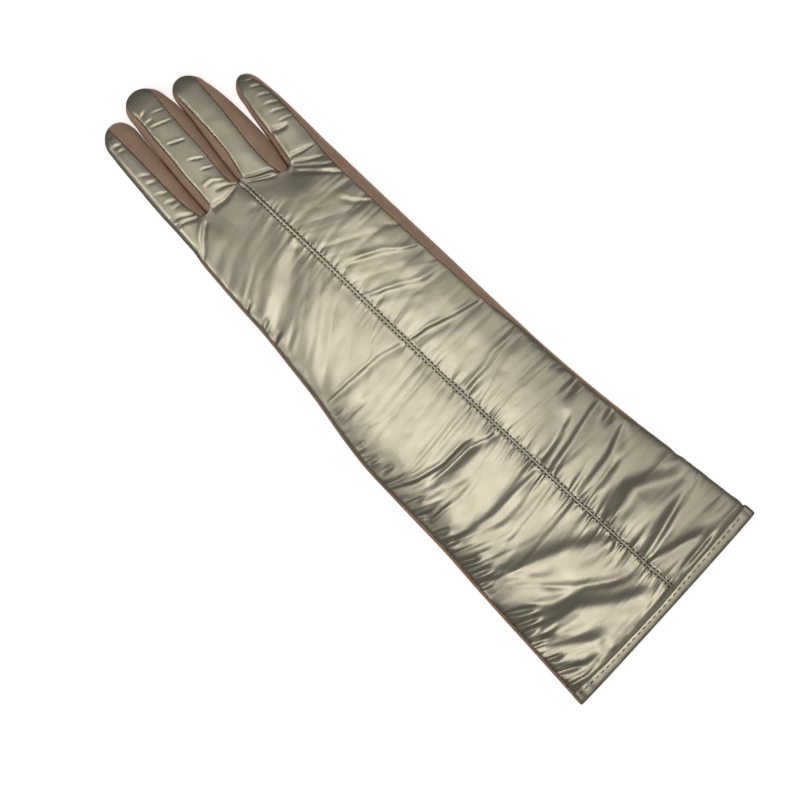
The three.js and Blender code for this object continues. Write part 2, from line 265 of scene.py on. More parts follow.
def linear_colour(hex_colour: str) -> tuple[float, float, float, float]:
    """Turn an sRGB hex colour into the linear colour that shaders take.

    Args:
        hex_colour: six hex digits, with or without a leading hash.

    Returns:
        Red, green, blue and alpha, linear.
    """
    digits = hex_colour.lstrip("#")
    srgb = np.array([int(digits[i:i + 2], 16) for i in (0, 2, 4)]) / 255.0
    linear = np.where(srgb <= 0.04045, srgb / 12.92, ((srgb + 0.055) / 1.055) ** 2.4)
    return (float(linear[0]), float(linear[1]), float(linear[2]), 1.0)


def smoothstep(value: Array, low: float, high: float) -> Array:
    """Rise smoothly from 0 at low to 1 at high: 3t^2 - 2t^3 of the clipped share t."""
    share = np.clip((value - low) / (high - low), 0.0, 1.0)
    return share * share * (3.0 - 2.0 * share)


def bump(away: Array, width: float | Array) -> Array:
    """A round bump, 1 in the middle and near 0 at twice the width: exp(-(away / width)^2)."""
    return np.exp(-(away / width) ** 2)


class Curve:
    """A smooth curve through rows: straight between rows, then averaged over a few millimetres."""

    STEP = 0.5

    def __init__(self, at: Array, value: Array, blur: float) -> None:
        """Sample and smooth the curve.

        Args:
            at: rising places in millimetres.
            value: the value at each place.
            blur: spread of the averaging, in millimetres.
        """
        margin = 4 * blur
        self.grid = np.arange(at[0] - margin, at[-1] + margin + self.STEP, self.STEP)
        slope_low = (value[1] - value[0]) / (at[1] - at[0])
        slope_high = (value[-1] - value[-2]) / (at[-1] - at[-2])
        raw = np.interp(self.grid, at, value)
        raw = np.where(self.grid < at[0], value[0] + slope_low * (self.grid - at[0]), raw)
        raw = np.where(self.grid > at[-1], value[-1] + slope_high * (self.grid - at[-1]), raw)
        reach = np.arange(-margin, margin + self.STEP, self.STEP)
        weight = np.exp(-0.5 * (reach / blur) ** 2)
        weight /= weight.sum()
        padded = np.pad(raw, len(reach) // 2, mode="reflect", reflect_type="odd")
        self.values = np.convolve(padded, weight, mode="valid")[:len(self.grid)]

    def __call__(self, at: Array) -> Array:
        """Read the curve at the given places."""
        return np.interp(at, self.grid, self.values)


@dataclass
class Tube:
    """A stretch of the glove with a left edge, a right edge and a crown along y.

    The rows hold y, left x, right x and the crown's height. The tip is where a finger ends,
    blur is the smoothing of the rows, and inset narrows the tube on each side.
    """

    rows: Array
    tip: tuple[float, float] | None = None
    blur: float = 6.0
    inset: float = 0.0
    crown: tuple[float, float, float] = CROWN_POWERS

    def __post_init__(self) -> None:
        """Make the smooth curves of the edges and the crown."""
        y = self.rows[:, 0]
        self.left = Curve(y, self.rows[:, 1], self.blur)
        self.right = Curve(y, self.rows[:, 2], self.blur)
        self.top = Curve(y, self.rows[:, 3], self.blur)
        self.last = float(y[-1])

    def frame_at(self, y: Array) -> tuple[Array, Array, Array, Array]:
        """Middle, half width, crown height and size at y.

        Past the last row the section keeps its form and shrinks as a quarter circle does:
        its size is sqrt(1 - past^2), with past from 0 at the last row to 1 at the tip.

        Args:
            y: places along the glove.

        Returns:
            Middle x, half width, crown height and size from 1 to 0.
        """
        held = np.minimum(y, self.last) if self.tip else y
        left, right = self.left(held), self.right(held)
        middle, half = (left + right) / 2, (right - left) / 2 - self.inset
        size = np.ones_like(middle)
        if self.tip:
            past = np.clip((y - self.last) / (self.tip[1] - self.last), 0.0, 1.0)
            size = np.sqrt(1.0 - past * past)
            middle = middle + (self.tip[0] - middle) * smoothstep(past, 0.0, 1.0)
        return middle, half, self.top(held), size

    def angle_at(self, x: Array, y: Array) -> Array:
        """Angle of a place in plan, from 0 at the right edge: the arc cosine of x over the half width."""
        middle, half, _, size = self.frame_at(y)
        return np.arccos(np.clip((x - middle) / np.maximum(half * size, 1e-6), -1.0, 1.0))

    def point(self, angle: Array, y: Array) -> Array:
        """Points of the section: a crowned upper half and a lower half with round corners pressed flat.

        Above the widest place z rises by (1 - |cos a|^p)^(1/p) of the crown, times the tip's
        size to the power of TIP_FLATNESS. The power p follows the crown's powers along y.
        Below the widest place the outline is a quarter ellipse of CORNER_REACH wide, then flat.

        Args:
            angle: 0 at the right edge, a quarter turn at the top and a half turn at the left edge.
            y: places along the glove.

        Returns:
            An array with x, y and z last.
        """
        middle, half, top, size = self.frame_at(y)
        across = np.cos(angle)
        widest = top * WIDEST_AT
        share = np.clip(np.abs(across), 0.0, 1.0)
        power = np.interp(y, CROWN_AT, self.crown)
        rise = (1.0 - share ** power) ** (1.0 / power)
        reach = np.minimum(CORNER_REACH / np.maximum(half, 1e-6), CORNER_MOST)
        corner = np.clip((share - (1.0 - reach)) / reach, 0.0, 1.0)
        drop = np.sqrt(1.0 - corner * corner)
        above = widest + (top - widest) * size ** TIP_FLATNESS * rise
        z = np.where(np.sin(angle) >= 0, above, widest - widest * size * drop)
        return np.stack(np.broadcast_arrays(middle + half * size * across, y, z), axis=-1)


class Side(Enum):
    """The two faces of the flat glove."""

    BACK = "back"
    PALM = "palm"


@dataclass
class Form:
    """The whole glove's form: the arm and hand, the four fingers and the seams on them.

    The shift is the place of the frame's origin in the glove's millimetres.
    """

    body: Tube = field(default_factory=lambda: Tube(BODY_ROWS))
    fingers: dict[Finger, Tube] = field(default_factory=lambda: {
        name: Tube(rows, FINGER_TIPS[name], blur=3.0, inset=0.12, crown=FINGER_CROWN)
        for name, rows in FINGER_ROWS.items()
    })
    seams: dict[str, Curve] = field(default_factory=lambda: {
        name: Curve(rows[:, 0], rows[:, 1], blur=1.5) for name, rows in SEAMS.items()
    })
    shift: tuple[float, float] = (0.0, 0.0)

    def to_frame(self, points: Array) -> Array:
        """Move points, in rows or a grid, from the glove's millimetres to rows in the frame's metres."""
        return (points.reshape(-1, 3) - np.array([*self.shift, 0.0])) * MM

    def to_glove(self, points: Array) -> Array:
        """Move rows of points from the frame's metres into the glove's millimetres."""
        return points / MM + np.array([*self.shift, 0.0])

    def thumb_rise(self, x: Array, y: Array) -> Array:
        """Height of the palm's underside over the folded thumb.

        The rise is full within RISE_FLAT of the thumb's outline and falls as a smoothstep
        of the distance to its axis over RISE_SLOPE more.

        Args:
            x: places across.
            y: places along.

        Returns:
            Millimetres above the surface that the glove lies on.
        """
        base, tip = np.array(THUMB_BASE), np.array(THUMB_TIP)
        axis = tip - base
        share = np.clip(((x - base[0]) * axis[0] + (y - base[1]) * axis[1]) / (axis @ axis), 0.0, 1.0)
        away = np.hypot(x - base[0] - axis[0] * share, y - base[1] - axis[1] * share)
        return THUMB_RISE * (1.0 - smoothstep(away - THUMB_HALF[0] - RISE_FLAT, 0.0, RISE_SLOPE))

    def left_seam(self, y: Array) -> Array:
        """Angle of the left seam, with suede outside it: LEFT_MARGIN at the cuff, HIGH_MARGIN above."""
        margin = LEFT_MARGIN - (LEFT_MARGIN - HIGH_MARGIN) * smoothstep(y, *MARGIN_TURN)
        return self.body.angle_at(self.body.left(y) + margin, y)

    def right_seam(self, y: Array) -> Array:
        """Angle of the right seam: under the edge at the cuff, and on the crown past SEAM_CLIMB."""
        over = self.body.angle_at(self.seams["edge"](y), y)
        return -SEAM_UNDER + (over + SEAM_UNDER) * smoothstep(y, *SEAM_CLIMB)

    def finger_seams(self, name: Finger, y: Array) -> tuple[Array, Array]:
        """Angles of a finger's two seams on the back.

        Args:
            name: the finger.
            y: places along.

        Returns:
            The left seam's and the right seam's angles.
        """
        tube, seams = self.fingers[name], self.seams
        if name is Finger.INDEX:
            return np.full_like(y, math.pi + SEAM_UNDER), tube.angle_at(seams["index_right"](y), y)
        right = "edge" if name is Finger.LITTLE else f"{name.value}_right"
        return tube.angle_at(seams[f"{name.value}_left"](y), y), tube.angle_at(seams[right](y), y)


def grid_faces(rows: int, columns: int, wrap: bool = False) -> Array:
    """Quads of a grid of points stored row by row, turned so that they face x cross y.

    Args:
        rows: number of rows of points.
        columns: number of columns of points.
        wrap: join the last column to the first.

    Returns:
        An array of four point numbers for each quad.
    """
    across = np.arange(columns if wrap else columns - 1)
    row, column = np.meshgrid(np.arange(rows - 1), across, indexing="ij")
    here, beside = row * columns + column, row * columns + (column + 1) % columns
    return np.stack([here, beside, beside + columns, here + columns], axis=-1).reshape(-1, 4)


def grid_normals(grid: Array) -> Array:
    """Unit normals of a grid of points: the cross product of its two central differences.

    Args:
        grid: points row by row.

    Returns:
        One normal for each point, in the grid's layout.
    """
    normal = np.cross(np.gradient(grid, axis=1), np.gradient(grid, axis=0))
    length = np.linalg.norm(normal, axis=-1, keepdims=True)
    return normal / np.maximum(length, 1e-9)


def from_rims(grid: Array) -> Array:
    """Distance of each point to the nearer end of its row, measured along the row.

    Args:
        grid: points row by row.

    Returns:
        Millimetres, in the grid's layout.
    """
    step = np.linalg.norm(np.diff(grid, axis=1), axis=-1)
    from_first = np.concatenate([np.zeros((len(grid), 1)), np.cumsum(step, axis=1)], axis=1)
    return np.minimum(from_first, from_first[:, -1:] - from_first)


def make_object(name: str, points: Array, faces: Array | list, smooth: bool = True) -> bpy.types.Object:
    """Make a mesh object at the origin from points in metres.

    Args:
        name: the piece's name.
        points: one row of x, y and z for each point.
        faces: point numbers of each face.
        smooth: shade it smooth.

    Returns:
        The new object.
    """
    mesh = bpy.data.meshes.new(name)
    mesh.from_pydata(points.tolist(), [], faces.tolist() if isinstance(faces, np.ndarray) else faces)
    mesh.validate()
    mesh.update()
    if smooth:
        mesh.polygons.foreach_set("use_smooth", np.ones(len(mesh.polygons), dtype=bool))
    piece = bpy.data.objects.new(name, mesh)
    bpy.context.scene.collection.objects.link(piece)
    return piece


def read_points(mesh: bpy.types.Mesh) -> Array:
    """Read a mesh's points.

    Args:
        mesh: any mesh.

    Returns:
        One row of x, y and z for each point.
    """
    points = np.zeros(len(mesh.vertices) * 3)
    mesh.vertices.foreach_get("co", points)
    return points.reshape(-1, 3)


def write_points(mesh: bpy.types.Mesh, points: Array) -> None:
    """Move a mesh's points to the given rows of x, y and z."""
    mesh.vertices.foreach_set("co", points.ravel())
    mesh.update()


def joined(points: Array, quads: Array, marked: Array) -> tuple[Array, list[list[int]], Array]:
    """Join a sheet's points that lie at one place: cloth with edges of no length can't be solved.

    Args:
        points: rows of x, y and z in millimetres.
        quads: four point numbers a face.
        marked: numbers of points to follow.

    Returns:
        The points left, the faces on them and the new numbers of the marked points.
    """
    hundredths = np.round(points * 100.0).astype(int)
    _, first, number = np.unique(hundredths, axis=0, return_index=True, return_inverse=True)
    number = number.reshape(-1)
    faces = [list(dict.fromkeys(face)) for face in number[quads].tolist()]
    return points[first], [face for face in faces if len(face) > 2], np.unique(number[marked])


def spread(values: Array, edges: Array, rounds: int, held: Array) -> Array:
    """Even out values over a mesh: each round a point takes the mean of itself and its neighbours' mean.

    Args:
        values: a row of numbers for each point.
        edges: pairs of point numbers.
        rounds: how often it is repeated.
        held: numbers of the points that keep their values.

    Returns:
        The evened values.
    """
    kept = values[held]
    count = len(values)
    both = np.concatenate([edges, edges[:, ::-1]])
    beside = np.maximum(np.bincount(both[:, 0], minlength=count), 1)[:, None]
    for _ in range(rounds):
        total = np.stack([
            np.bincount(both[:, 0], weights=values[both[:, 1], axis], minlength=count) for axis in range(3)
        ], axis=1)
        values = 0.5 * values + 0.5 * total / beside
        values[held] = kept
    return values


def apply_modifiers(piece: bpy.types.Object) -> None:
    """Replace the piece's mesh by the one that its modifiers give.

    Args:
        piece: the mesh object.
    """
    depsgraph = bpy.context.evaluated_depsgraph_get()
    finished = bpy.data.meshes.new_from_object(piece.evaluated_get(depsgraph), depsgraph=depsgraph)
    old = piece.data
    piece.modifiers.clear()
    piece.data = finished
    bpy.data.meshes.remove(old)


def merge_close(piece: bpy.types.Object, distance: float = 0.00002) -> None:
    """Merge points that lie at one place, such as those of a closed tip.

    Args:
        piece: the mesh object.
        distance: how close they lie, in metres.
    """
    work = bmesh.new()
    work.from_mesh(piece.data)
    bmesh.ops.remove_doubles(work, verts=work.verts, dist=distance)
    work.to_mesh(piece.data)
    work.free()
    piece.data.update()


def refine(piece: bpy.types.Object) -> None:
    """Divide each face into four on a smooth surface, and close the tips.

    Args:
        piece: the mesh object.
    """
    smooth = piece.modifiers.new("smooth", "SUBSURF")
    smooth.levels = smooth.render_levels = 1
    apply_modifiers(piece)
    merge_close(piece)


def thicken(piece: bpy.types.Object, thickness: float) -> None:
    """Give an open sheet its wall, inwards, and apply it.

    Args:
        piece: the sheet, with its faces out.
        thickness: the wall's thickness in millimetres.
    """
    wall = piece.modifiers.new("wall", "SOLIDIFY")
    wall.thickness = thickness * MM
    wall.offset = -1.0
    wall.use_rim = True
    apply_modifiers(piece)


class Crease(Enum):
    """How a fold's section looks: cut in or raised."""

    VALLEY = -1
    RIDGE = 1


@dataclass(frozen=True)
class Fold:
    """One fold of the padded back, drawn along a line from left to right.

    The widths above and below the line may differ, and fade is the length over which a free
    end runs out.
    """

    line: tuple[tuple[float, float], ...]
    depth: float
    above: float
    below: float
    kind: Crease = Crease.VALLEY
    fade: float = 12.0

    def ends_at_seam(self) -> tuple[bool, bool]:
        """Whether the fold's first and last ends lie on a seam or an edge, where it stays sharp.

        Returns:
            One answer for each end.
        """
        answers = []
        for x, y in (self.line[0], self.line[-1]):
            centre = float(np.interp(y, CENTRE_SEAM[:, 0], CENTRE_SEAM[:, 1]))
            left = float(np.interp(y, BODY_ROWS[:, 0], BODY_ROWS[:, 1]))
            right = float(np.interp(y, BODY_ROWS[:, 0], BODY_ROWS[:, 2]))
            answers.append(abs(x - centre) < NEAR_CENTRE or x - left < NEAR_LEFT or right - x < NEAR_RIGHT)
        return answers[0], answers[1]

    def measure(self, x: Array, y: Array) -> tuple[Array, Array, float]:
        """Measure places against the fold's line.

        Args:
            x: places across.
            y: places along.

        Returns:
            The signed distance to the line, positive above it, the place along the line of its
            nearest point, and the line's length.
        """
        line = np.array(self.line, dtype=float)
        steps = np.diff(line, axis=0)
        lengths = np.hypot(steps[:, 0], steps[:, 1])
        best = np.full(x.shape, 1e9)
        signed, along = np.zeros(x.shape), np.zeros(x.shape)
        start = 0.0
        for corner, (dx, dy), length in zip(line, steps, lengths):
            from_x, from_y = x - corner[0], y - corner[1]
            held = np.clip((from_x * dx + from_y * dy) / length ** 2, 0.0, 1.0)
            away = np.hypot(from_x - held * dx, from_y - held * dy)
            side = np.where(dx * from_y - dy * from_x >= 0, 1.0, -1.0)
            closer = away < best
            signed = np.where(closer, away * side, signed)
            along = np.where(closer, start + held * length, along)
            best = np.minimum(best, away)
            start += length
        return signed, along, lengths.sum()

    def relief(self, x: Array, y: Array) -> Array:
        """Height that the fold adds at places near it.

        With the signed distance r to the line the height is depth * exp(-(r / width)^2). At a
        seam the fold narrows to SEAM_WIDTH of its width and loses half that share of its depth,
        over SEAM_REACH. At a free end it fades out.

        Args:
            x: places across.
            y: places along.

        Returns:
            Millimetres up at each place.
        """
        signed, along, whole = self.measure(x, y)
        at_first, at_last = self.ends_at_seam()
        ends, narrow = np.ones(x.shape), np.ones(x.shape)
        for at_seam, from_end in ((at_first, along), (at_last, whole - along)):
            if at_seam:
                narrow *= 1.0 - (1.0 - SEAM_WIDTH) * np.exp(-from_end / SEAM_REACH)
                ends *= smoothstep(from_end, -1.0, 3.0)
            else:
                ends *= smoothstep(from_end, -0.2, min(self.fade, 0.6 * whole))
        width = np.where(signed >= 0, self.above, self.below) * narrow
        return self.kind.value * self.depth * bump(signed, width) * ends * (0.5 + 0.5 * narrow)


def fold_relief(folds: list[Fold], x: Array, y: Array) -> Array:
    """Height that the folds add at each place: the sum of what each one adds near its line.

    Args:
        folds: the folds.
        x: places across.
        y: places along.

    Returns:
        Millimetres up at each place.
    """
    total = np.zeros_like(x)
    for fold in folds:
        line = np.array(fold.line, dtype=float)
        reach = FOLD_REACH * max(fold.above, fold.below)
        low, high = line.min(axis=0) - reach, line.max(axis=0) + reach
        near = (x > low[0]) & (x < high[0]) & (y > low[1]) & (y < high[1])
        total[near] += fold.relief(x[near], y[near])
    return total


def read_line(line: str) -> tuple[tuple[float, float], ...]:
    """Read the corners of a line written as x,y pairs with spaces between them."""
    pairs = [pair.split(",") for pair in line.split()]
    return tuple((float(x), float(y)) for x, y in pairs)


def valley(line: str, depth: float, above: float, below: float, fade: float = 12.0) -> Fold:
    """A fold cut in along a line of x,y pairs."""
    return Fold(read_line(line), depth, above, below, Crease.VALLEY, fade)


def ridge(line: str, depth: float, above: float, below: float, fade: float = 12.0) -> Fold:
    """A raised fold along a line of x,y pairs."""
    return Fold(read_line(line), depth, above, below, Crease.RIDGE, fade)


# Width of a fold where it meets a seam, as a share of its width elsewhere, and how far that reaches
SEAM_WIDTH = 0.38
SEAM_REACH = 9.0

# How near to the centre seam or an edge a fold's end lies on it
NEAR_CENTRE = 7.0
NEAR_LEFT = 8.0
NEAR_RIGHT = 9.0

# How far from its line a fold is worked out, as a multiple of its width
FOLD_REACH = 3.0

# Folds of the back, from the left seam to the right one: the line in millimetres, the depth,
# the widths above and below the line, and the length over which a free end fades
CUFF_FOLDS = [
    valley("-74,92 -55,88 -35,80 -15,70 0,60 8,54", 3.6, 7.0, 15.0),
    ridge("-72,95 -57,91.5 -44,76 -30,59", 1.0, 2.4, 4.2, 16.0),
    ridge("-62,88 -48,73 -34,60", 0.4, 1.6, 2.4),
    valley("-76,46 -58,45 -38,42 -27,32 -12,22 4,13", 3.0, 5.5, 11.0),
    valley("-74,42 -58,29 -46,20 -36,13", 2.8, 5.0, 8.0),
    ridge("-74,50 -60,45.5 -50,43.5", 1.0, 1.4, 2.4),
    ridge("-64,72 -46,56 -28,49 -12,40 2,30", 1.6, 3.0, 4.0),
    ridge("-46,70 -30,54 -16,42 -2,31", 1.0, 1.8, 3.0),
    valley("-77,23 -62,12 -44,9", 2.8, 4.5, 5.0),
    valley("-70,103 -56,100 -40,97", 1.0, 2.5, 4.0),
    valley("-64,177 -50,168.5 -31,163 -12,162.5 -5,160.5", 1.2, 1.8, 4.5, 5.0),
    ridge("-58,175 -46,170 -31,166 -12,165 -6,163", 0.35, 1.6, 1.6, 8.0),
    valley("-50,163.5 -31,160.5 -12,159.8 7,153", 1.1, 1.5, 4.5),
    valley("-66,148.5 -50,148.5 -38,147 -22,144", 1.2, 3.2, 4.0),
    ridge("-63,146 -52,145.5 -40,143.5", 0.8, 1.2, 2.0),
    valley("-64,127 -46,122.5 -31,119.5 -12,119.5 8,118.5", 1.9, 3.2, 8.0),
    valley("-44,117 -25,113.5 -5,114", 0.8, 2.5, 3.5),
    valley("11,122.5 25,124 41,128 52,131", 1.9, 9.0, 2.6),
    valley("14,114.5 34,115.5 50,118.5 66,121", 1.8, 2.6, 7.0),
    valley("11,89.5 24,90.5 45,92.5 66,100", 1.8, 2.8, 5.0),
    valley("18,84 34,86 52,89", 0.9, 1.8, 3.0),
    valley("12,66 28,65 40,67 54,59 70,49", 4.0, 7.5, 10.0),
    ridge("11,77 26,78 40,76 52,67", 0.8, 4.0, 4.0),
    valley("11,33.5 30,36 50,40.5 76,44", 2.0, 5.0, 3.0),
    ridge("12,29.5 30,33 52,39 76,46.5", 0.45, 2.0, 2.6),
    valley("11,29 26,25 40,20 56,13", 2.2, 3.6, 8.0),
    valley("46,142 56,139 68,140", 2.0, 4.5, 4.0),
    valley("53,112 60,109 68,111", 2.0, 4.5, 4.0),
    valley("62,72 70,66 76,60", 1.8, 5.0, 4.0),
    valley("56,28 66,22 76,20", 1.2, 5.0, 4.0),
    valley("60,158 66,152 69,146", 1.2, 3.0, 4.0),
    valley("-12,50 0,47.5 8,48", 1.1, 2.4, 4.0),
    valley("-32,50 -20,44 -8,34 2,26", 1.1, 2.4, 3.5),
    valley("-20,62 -8,57 4,57", 0.7, 3.0, 4.0),
    valley("-62,112 -52,107 -42,101", 1.0, 2.5, 4.0),
    valley("-58,122 -46,114 -36,108", 1.0, 4.0, 6.0),
    valley("20,10 40,11 60,13", 1.6, 3.0, 2.0),
]

ARM_FOLDS = [
    valley("-52,243 -40,242 -22,240.3 -10,239.3 8,234", 0.6, 2.0, 4.0),
    ridge("-50,245 -38,244 -22,242.4 -6,241", 0.25, 1.4, 1.8),
    valley("12,231 25,228.5 40,222.5 61,216", 0.75, 2.2, 6.0),
    ridge("12,233.5 25,231 40,225 61,219", 0.35, 1.6, 1.8),
    valley("-57,228.5 -44,228 -30,226.5", 0.45, 1.4, 2.0),
    ridge("20,297 31,290 41,284 50,276 60,269", 0.45, 2.0, 1.8),
    valley("18,294 30,287 41,281 50,273 60,266", 0.5, 2.2, 7.0),
    ridge("13,272 25,266 35,260 44,254 56,251", 0.45, 2.2, 2.0),
    valley("13,268 25,263 35,257 46,250 58,247", 0.45, 2.2, 6.0),
    ridge("48,262 56,256 61,252.5", 0.3, 1.5, 1.5),
    valley("45,330 50,319 61,307", 0.45, 2.4, 2.0),
    ridge("47,330 52,320 61,310", 0.35, 1.4, 1.6),
    valley("48,301 54,293 61,286", 0.45, 2.2, 2.0),
    ridge("12,187.5 31,187.8 44,190 62,188", 0.5, 2.4, 1.6),
    valley("12,184.5 31,184 48,186 62,184.5", 0.55, 1.8, 5.0),
    valley("-60,178.5 -40,178 -12,180 8,182.5", 0.35, 1.8, 3.0),
    valley("-56,174 -40,173 8,176", 0.35, 1.6, 2.6),
    valley("12,165.5 34,166 56,167 66,165", 0.3, 2.0, 4.0),
    valley("-48,296 -30,303 -15,310 -5,318 8,325", 1.3, 6.0, 9.0, 6.0),
    ridge("-46,262 -30,274 -12,288 2,299", 0.6, 9.0, 7.0, 14.0),
    valley("-46,252 -30,262 -12,277 2,289", 0.55, 6.0, 8.0, 14.0),
    valley("-44,314 -26,325 -12,335 6,343", 0.5, 6.0, 8.0, 10.0),
    ridge("-45,305 -30,313 -14,322 4,332", 0.25, 5.0, 6.0, 10.0),
    valley("-41,336 -28,345 -14,351 6,353", 0.35, 8.0, 8.0, 14.0),
    ridge("14,238 30,243 44,247", 0.4, 8.0, 8.0, 10.0),
    valley("12,250 24,252 40,246 56,236", 0.4, 7.0, 7.0, 10.0),
    valley("12,278 26,279 40,272", 0.3, 6.0, 6.0, 10.0),
    valley("14,205 34,207 52,214", 0.35, 6.0, 6.0, 10.0),
    valley("-46,285 -36,288 -26,292", 0.4, 3.0, 3.0, 6.0),
]

HAND_FOLDS = [
    valley("-20,377 -30,369.5 -39,360", 0.96, 1.8, 1.4, 4.0),
    ridge("-21,379 -31,372 -40,363", 0.4, 2.0, 1.4, 4.0),
    valley("-37,392.5 -30,390 -20.6,383.5", 0.8, 1.2, 1.8, 3.0),
    valley("-38,387 -30,385.5 -21,380.5", 0.8, 1.2, 1.8, 3.0),
    valley("-13,379 -2.5,376.6 9,377.4", 0.72, 2.0, 2.6, 2.0),
    valley("-3,385.4 4,382.5 9,378.7", 0.56, 1.5, 1.5, 3.0),
    ridge("-7,393 0,392 7,386", 0.28, 1.5, 1.5, 4.0),
    valley("-6,391 1,390 6,385", 0.28, 1.4, 1.4, 4.0),
    valley("15,378 21,373.6 31,368.5 33.7,362.5", 0.72, 1.2, 1.4, 3.0),
    valley("15,374 22,369 31,363", 0.56, 1.2, 1.4, 3.0),
    ridge("15,376 21,371.5 31,366", 0.4, 0.9, 0.9, 3.0),
    valley("37.5,360 45,352 52.5,343.5 60.5,334", 0.88, 1.5, 1.7, 3.0),
    valley("40,361.5 47.5,354 54,347.5 60.5,343", 0.72, 1.3, 1.5, 3.0),
    ridge("38.6,360.6 46,353 53,345.5 60.5,338", 0.48, 1.0, 1.0, 3.0),
    valley("42,363 49,357 60,350", 0.56, 1.2, 1.4, 3.0),
    valley("44,366 52,362.5 61,360", 0.72, 1.2, 1.6, 3.0),
    valley("47.5,386 52,382.5 58,380", 0.8, 1.4, 1.8, 2.0),
    valley("-38,352 -20,358 0,361 9,360", 0.28, 5.0, 5.0, 12.0),
    valley("4,357 10,360 16,360", 0.3, 3.0, 3.0, 5.0),
]

# Short creases that run up from the finger seams, slanting away from them
FINGER_CREASES = (
    # x and y at the seam, x and y at the other end, depth
    (-20.5, 455, -28, 459, 0.8),
    (-20.5, 447, -29, 452, 0.9),
    (-21, 443, -28, 447, 0.7),
    (-21.5, 420, -30, 428, 0.8),
    (-22.3, 415, -30, 421, 0.8),
    (-22.4, 405, -31, 412, 0.9),
    (-22.4, 398, -30, 404, 0.9),
    (-22.2, 394, -29, 398, 0.7),
    (8, 421, -3, 427.5, 1.1),
    (8, 404.5, -1, 411.5, 1.1),
    (8, 396.5, 0, 401.5, 1.1),
    (12, 435.5, -3, 442.5, 0.6),
    (13.5, 443.5, 5, 447.5, 0.6),
    (-2, 450, 4, 452, 0.7),
    (-3.5, 446, 4, 444.5, 0.6),
    (66.5, 415, 58, 420, 0.8),
    (66.8, 409, 58, 415, 0.9),
    (67, 401, 58, 408, 0.9),
    (66.8, 394, 57, 401, 0.9),
    (66.4, 388, 56, 395, 0.9),
    (66, 382, 56, 387, 0.8),
)

# Short pleats that run in from the left edge, slanting towards the cuff
EDGE_PLEATS = (
    # x and y at the edge, length across, drop, depth
    (-66, 165, 14, 6, 1.2),
    (-67, 155, 10, 6, 1.2),
    (-68, 140, 12, 6, 1.1),
    (-69, 131, 12, 5, 1.2),
    (-70, 116, 14, 8, 1.4),
    (-71, 106, 16, 8, 1.4),
    (-73, 98, 12, 4, 1.2),
    (-75, 74, 22, 14, 1.6),
    (-76, 65, 20, 10, 1.6),
    (-77, 57, 16, 6, 1.4),
    (-78, 50, 20, 12, 1.4),
    (-79, 36, 14, 8, 1.4),
    (-80, 26, 20, 12, 1.6),
    (-80, 17, 22, 10, 1.4),
    (-62, 200, 7, 2, 0.8),
    (-60, 212, 6, 2, 0.8),
    (-60, 190, 8, 3, 0.8),
    (-55, 236, 7, 0, 0.7),
    (-49, 292, 10, -5, 0.9),
    (-47, 303, 9, -5, 0.9),
    (-46, 318, 8, -5, 0.7),
)


def finger_folds() -> list[Fold]:
    """The creases of the fingers.

    Returns:
        A narrow valley with a ridge beside it for each crease.
    """
    folds = []
    for x0, y0, x1, y1, depth in FINGER_CREASES:
        low = ((x0, y0 - 0.8), (x1, y1 - 0.8))
        high = ((x0, y0 + 0.5), (x1, y1 + 0.5))
        folds.append(Fold(low, depth=0.6 * depth, above=0.9, below=1.3, fade=5.0))
        folds.append(Fold(high, depth=0.35 * depth, above=0.8, below=0.8, kind=Crease.RIDGE, fade=5.0))
    return folds


def edge_pleats() -> list[Fold]:
    """The pleats of the left edge.

    Returns:
        A valley and a ridge for each pleat, the ridge a little nearer to the cuff.
    """
    folds = []
    for x0, y0, across, drop, depth in EDGE_PLEATS:
        x1, y1, fade = x0 + across, y0 - drop, 0.45 * across
        cut, raised = ((x0, y0), (x1, y1)), ((x0, y0 - 3.4), (x1, y1 - 3.4))
        folds.append(Fold(cut, depth=depth, above=1.8, below=2.6, fade=fade))
        folds.append(Fold(raised, depth=0.6 * depth, above=1.6, below=1.6, kind=Crease.RIDGE, fade=fade))
    return folds


def all_folds() -> tuple[list[Fold], list[Fold]]:
    """Sort every fold of the back by its width.

    Returns:
        The broad folds, which the simulated sheet has, and the narrow ones for the fine sheet.
    """
    folds = CUFF_FOLDS + ARM_FOLDS + HAND_FOLDS + finger_folds() + edge_pleats()
    broad = [fold for fold in folds if min(fold.above, fold.below) >= BROAD]
    narrow = [fold for fold in folds if min(fold.above, fold.below) < BROAD]
    return broad, narrow


@dataclass(frozen=True)
class Gather:
    """Creases that a gathered seam sends into the cloth: the short ones end near it, the long ones far.

    Each wave is a wavelength, a height and a reach, in millimetres. The slant turns the
    creases from square to the seam, and the seed picks their places. The random line is
    longest millimetres long and starts before millimetres ahead of the seam's zero.
    """

    waves: tuple[tuple[float, float, float], ...]
    slant: float
    seed: int
    longest: float = 700.0
    before: float = 100.0

    def relief(self, away: Array, along: Array) -> Array:
        """Height of the creases.

        Each wave adds height * (|n(s)| - GATHER_LEVEL) * exp(-away / reach), where n is a smooth
        random line that swings between -1 and 1 about once a wavelength, and
        s = along + slant * away with a small wobble.

        Args:
            away: distance from the seam.
            along: place along the seam.

        Returns:
            Millimetres up at each place.
        """
        random = np.random.default_rng(self.seed)
        total = np.zeros_like(away)
        for wave, height, reach in self.waves:
            step = wave / 2.0
            count = int(self.longest / step)
            values = random.uniform(-1.0, 1.0, count)
            wobble = 0.12 * wave * np.sin(away / (1.7 * wave) + along / (5.0 * wave))
            at = (along + self.slant * away + wobble + self.before) / step
            first = np.clip(np.floor(at).astype(int), 0, count - 2)
            share = at - first
            share = share * share * (3.0 - 2.0 * share)
            line = values[first] * (1.0 - share) + values[first + 1] * share
            total += height * (np.abs(line) - GATHER_LEVEL) * np.exp(-np.maximum(away, 0.0) / reach)
        return total


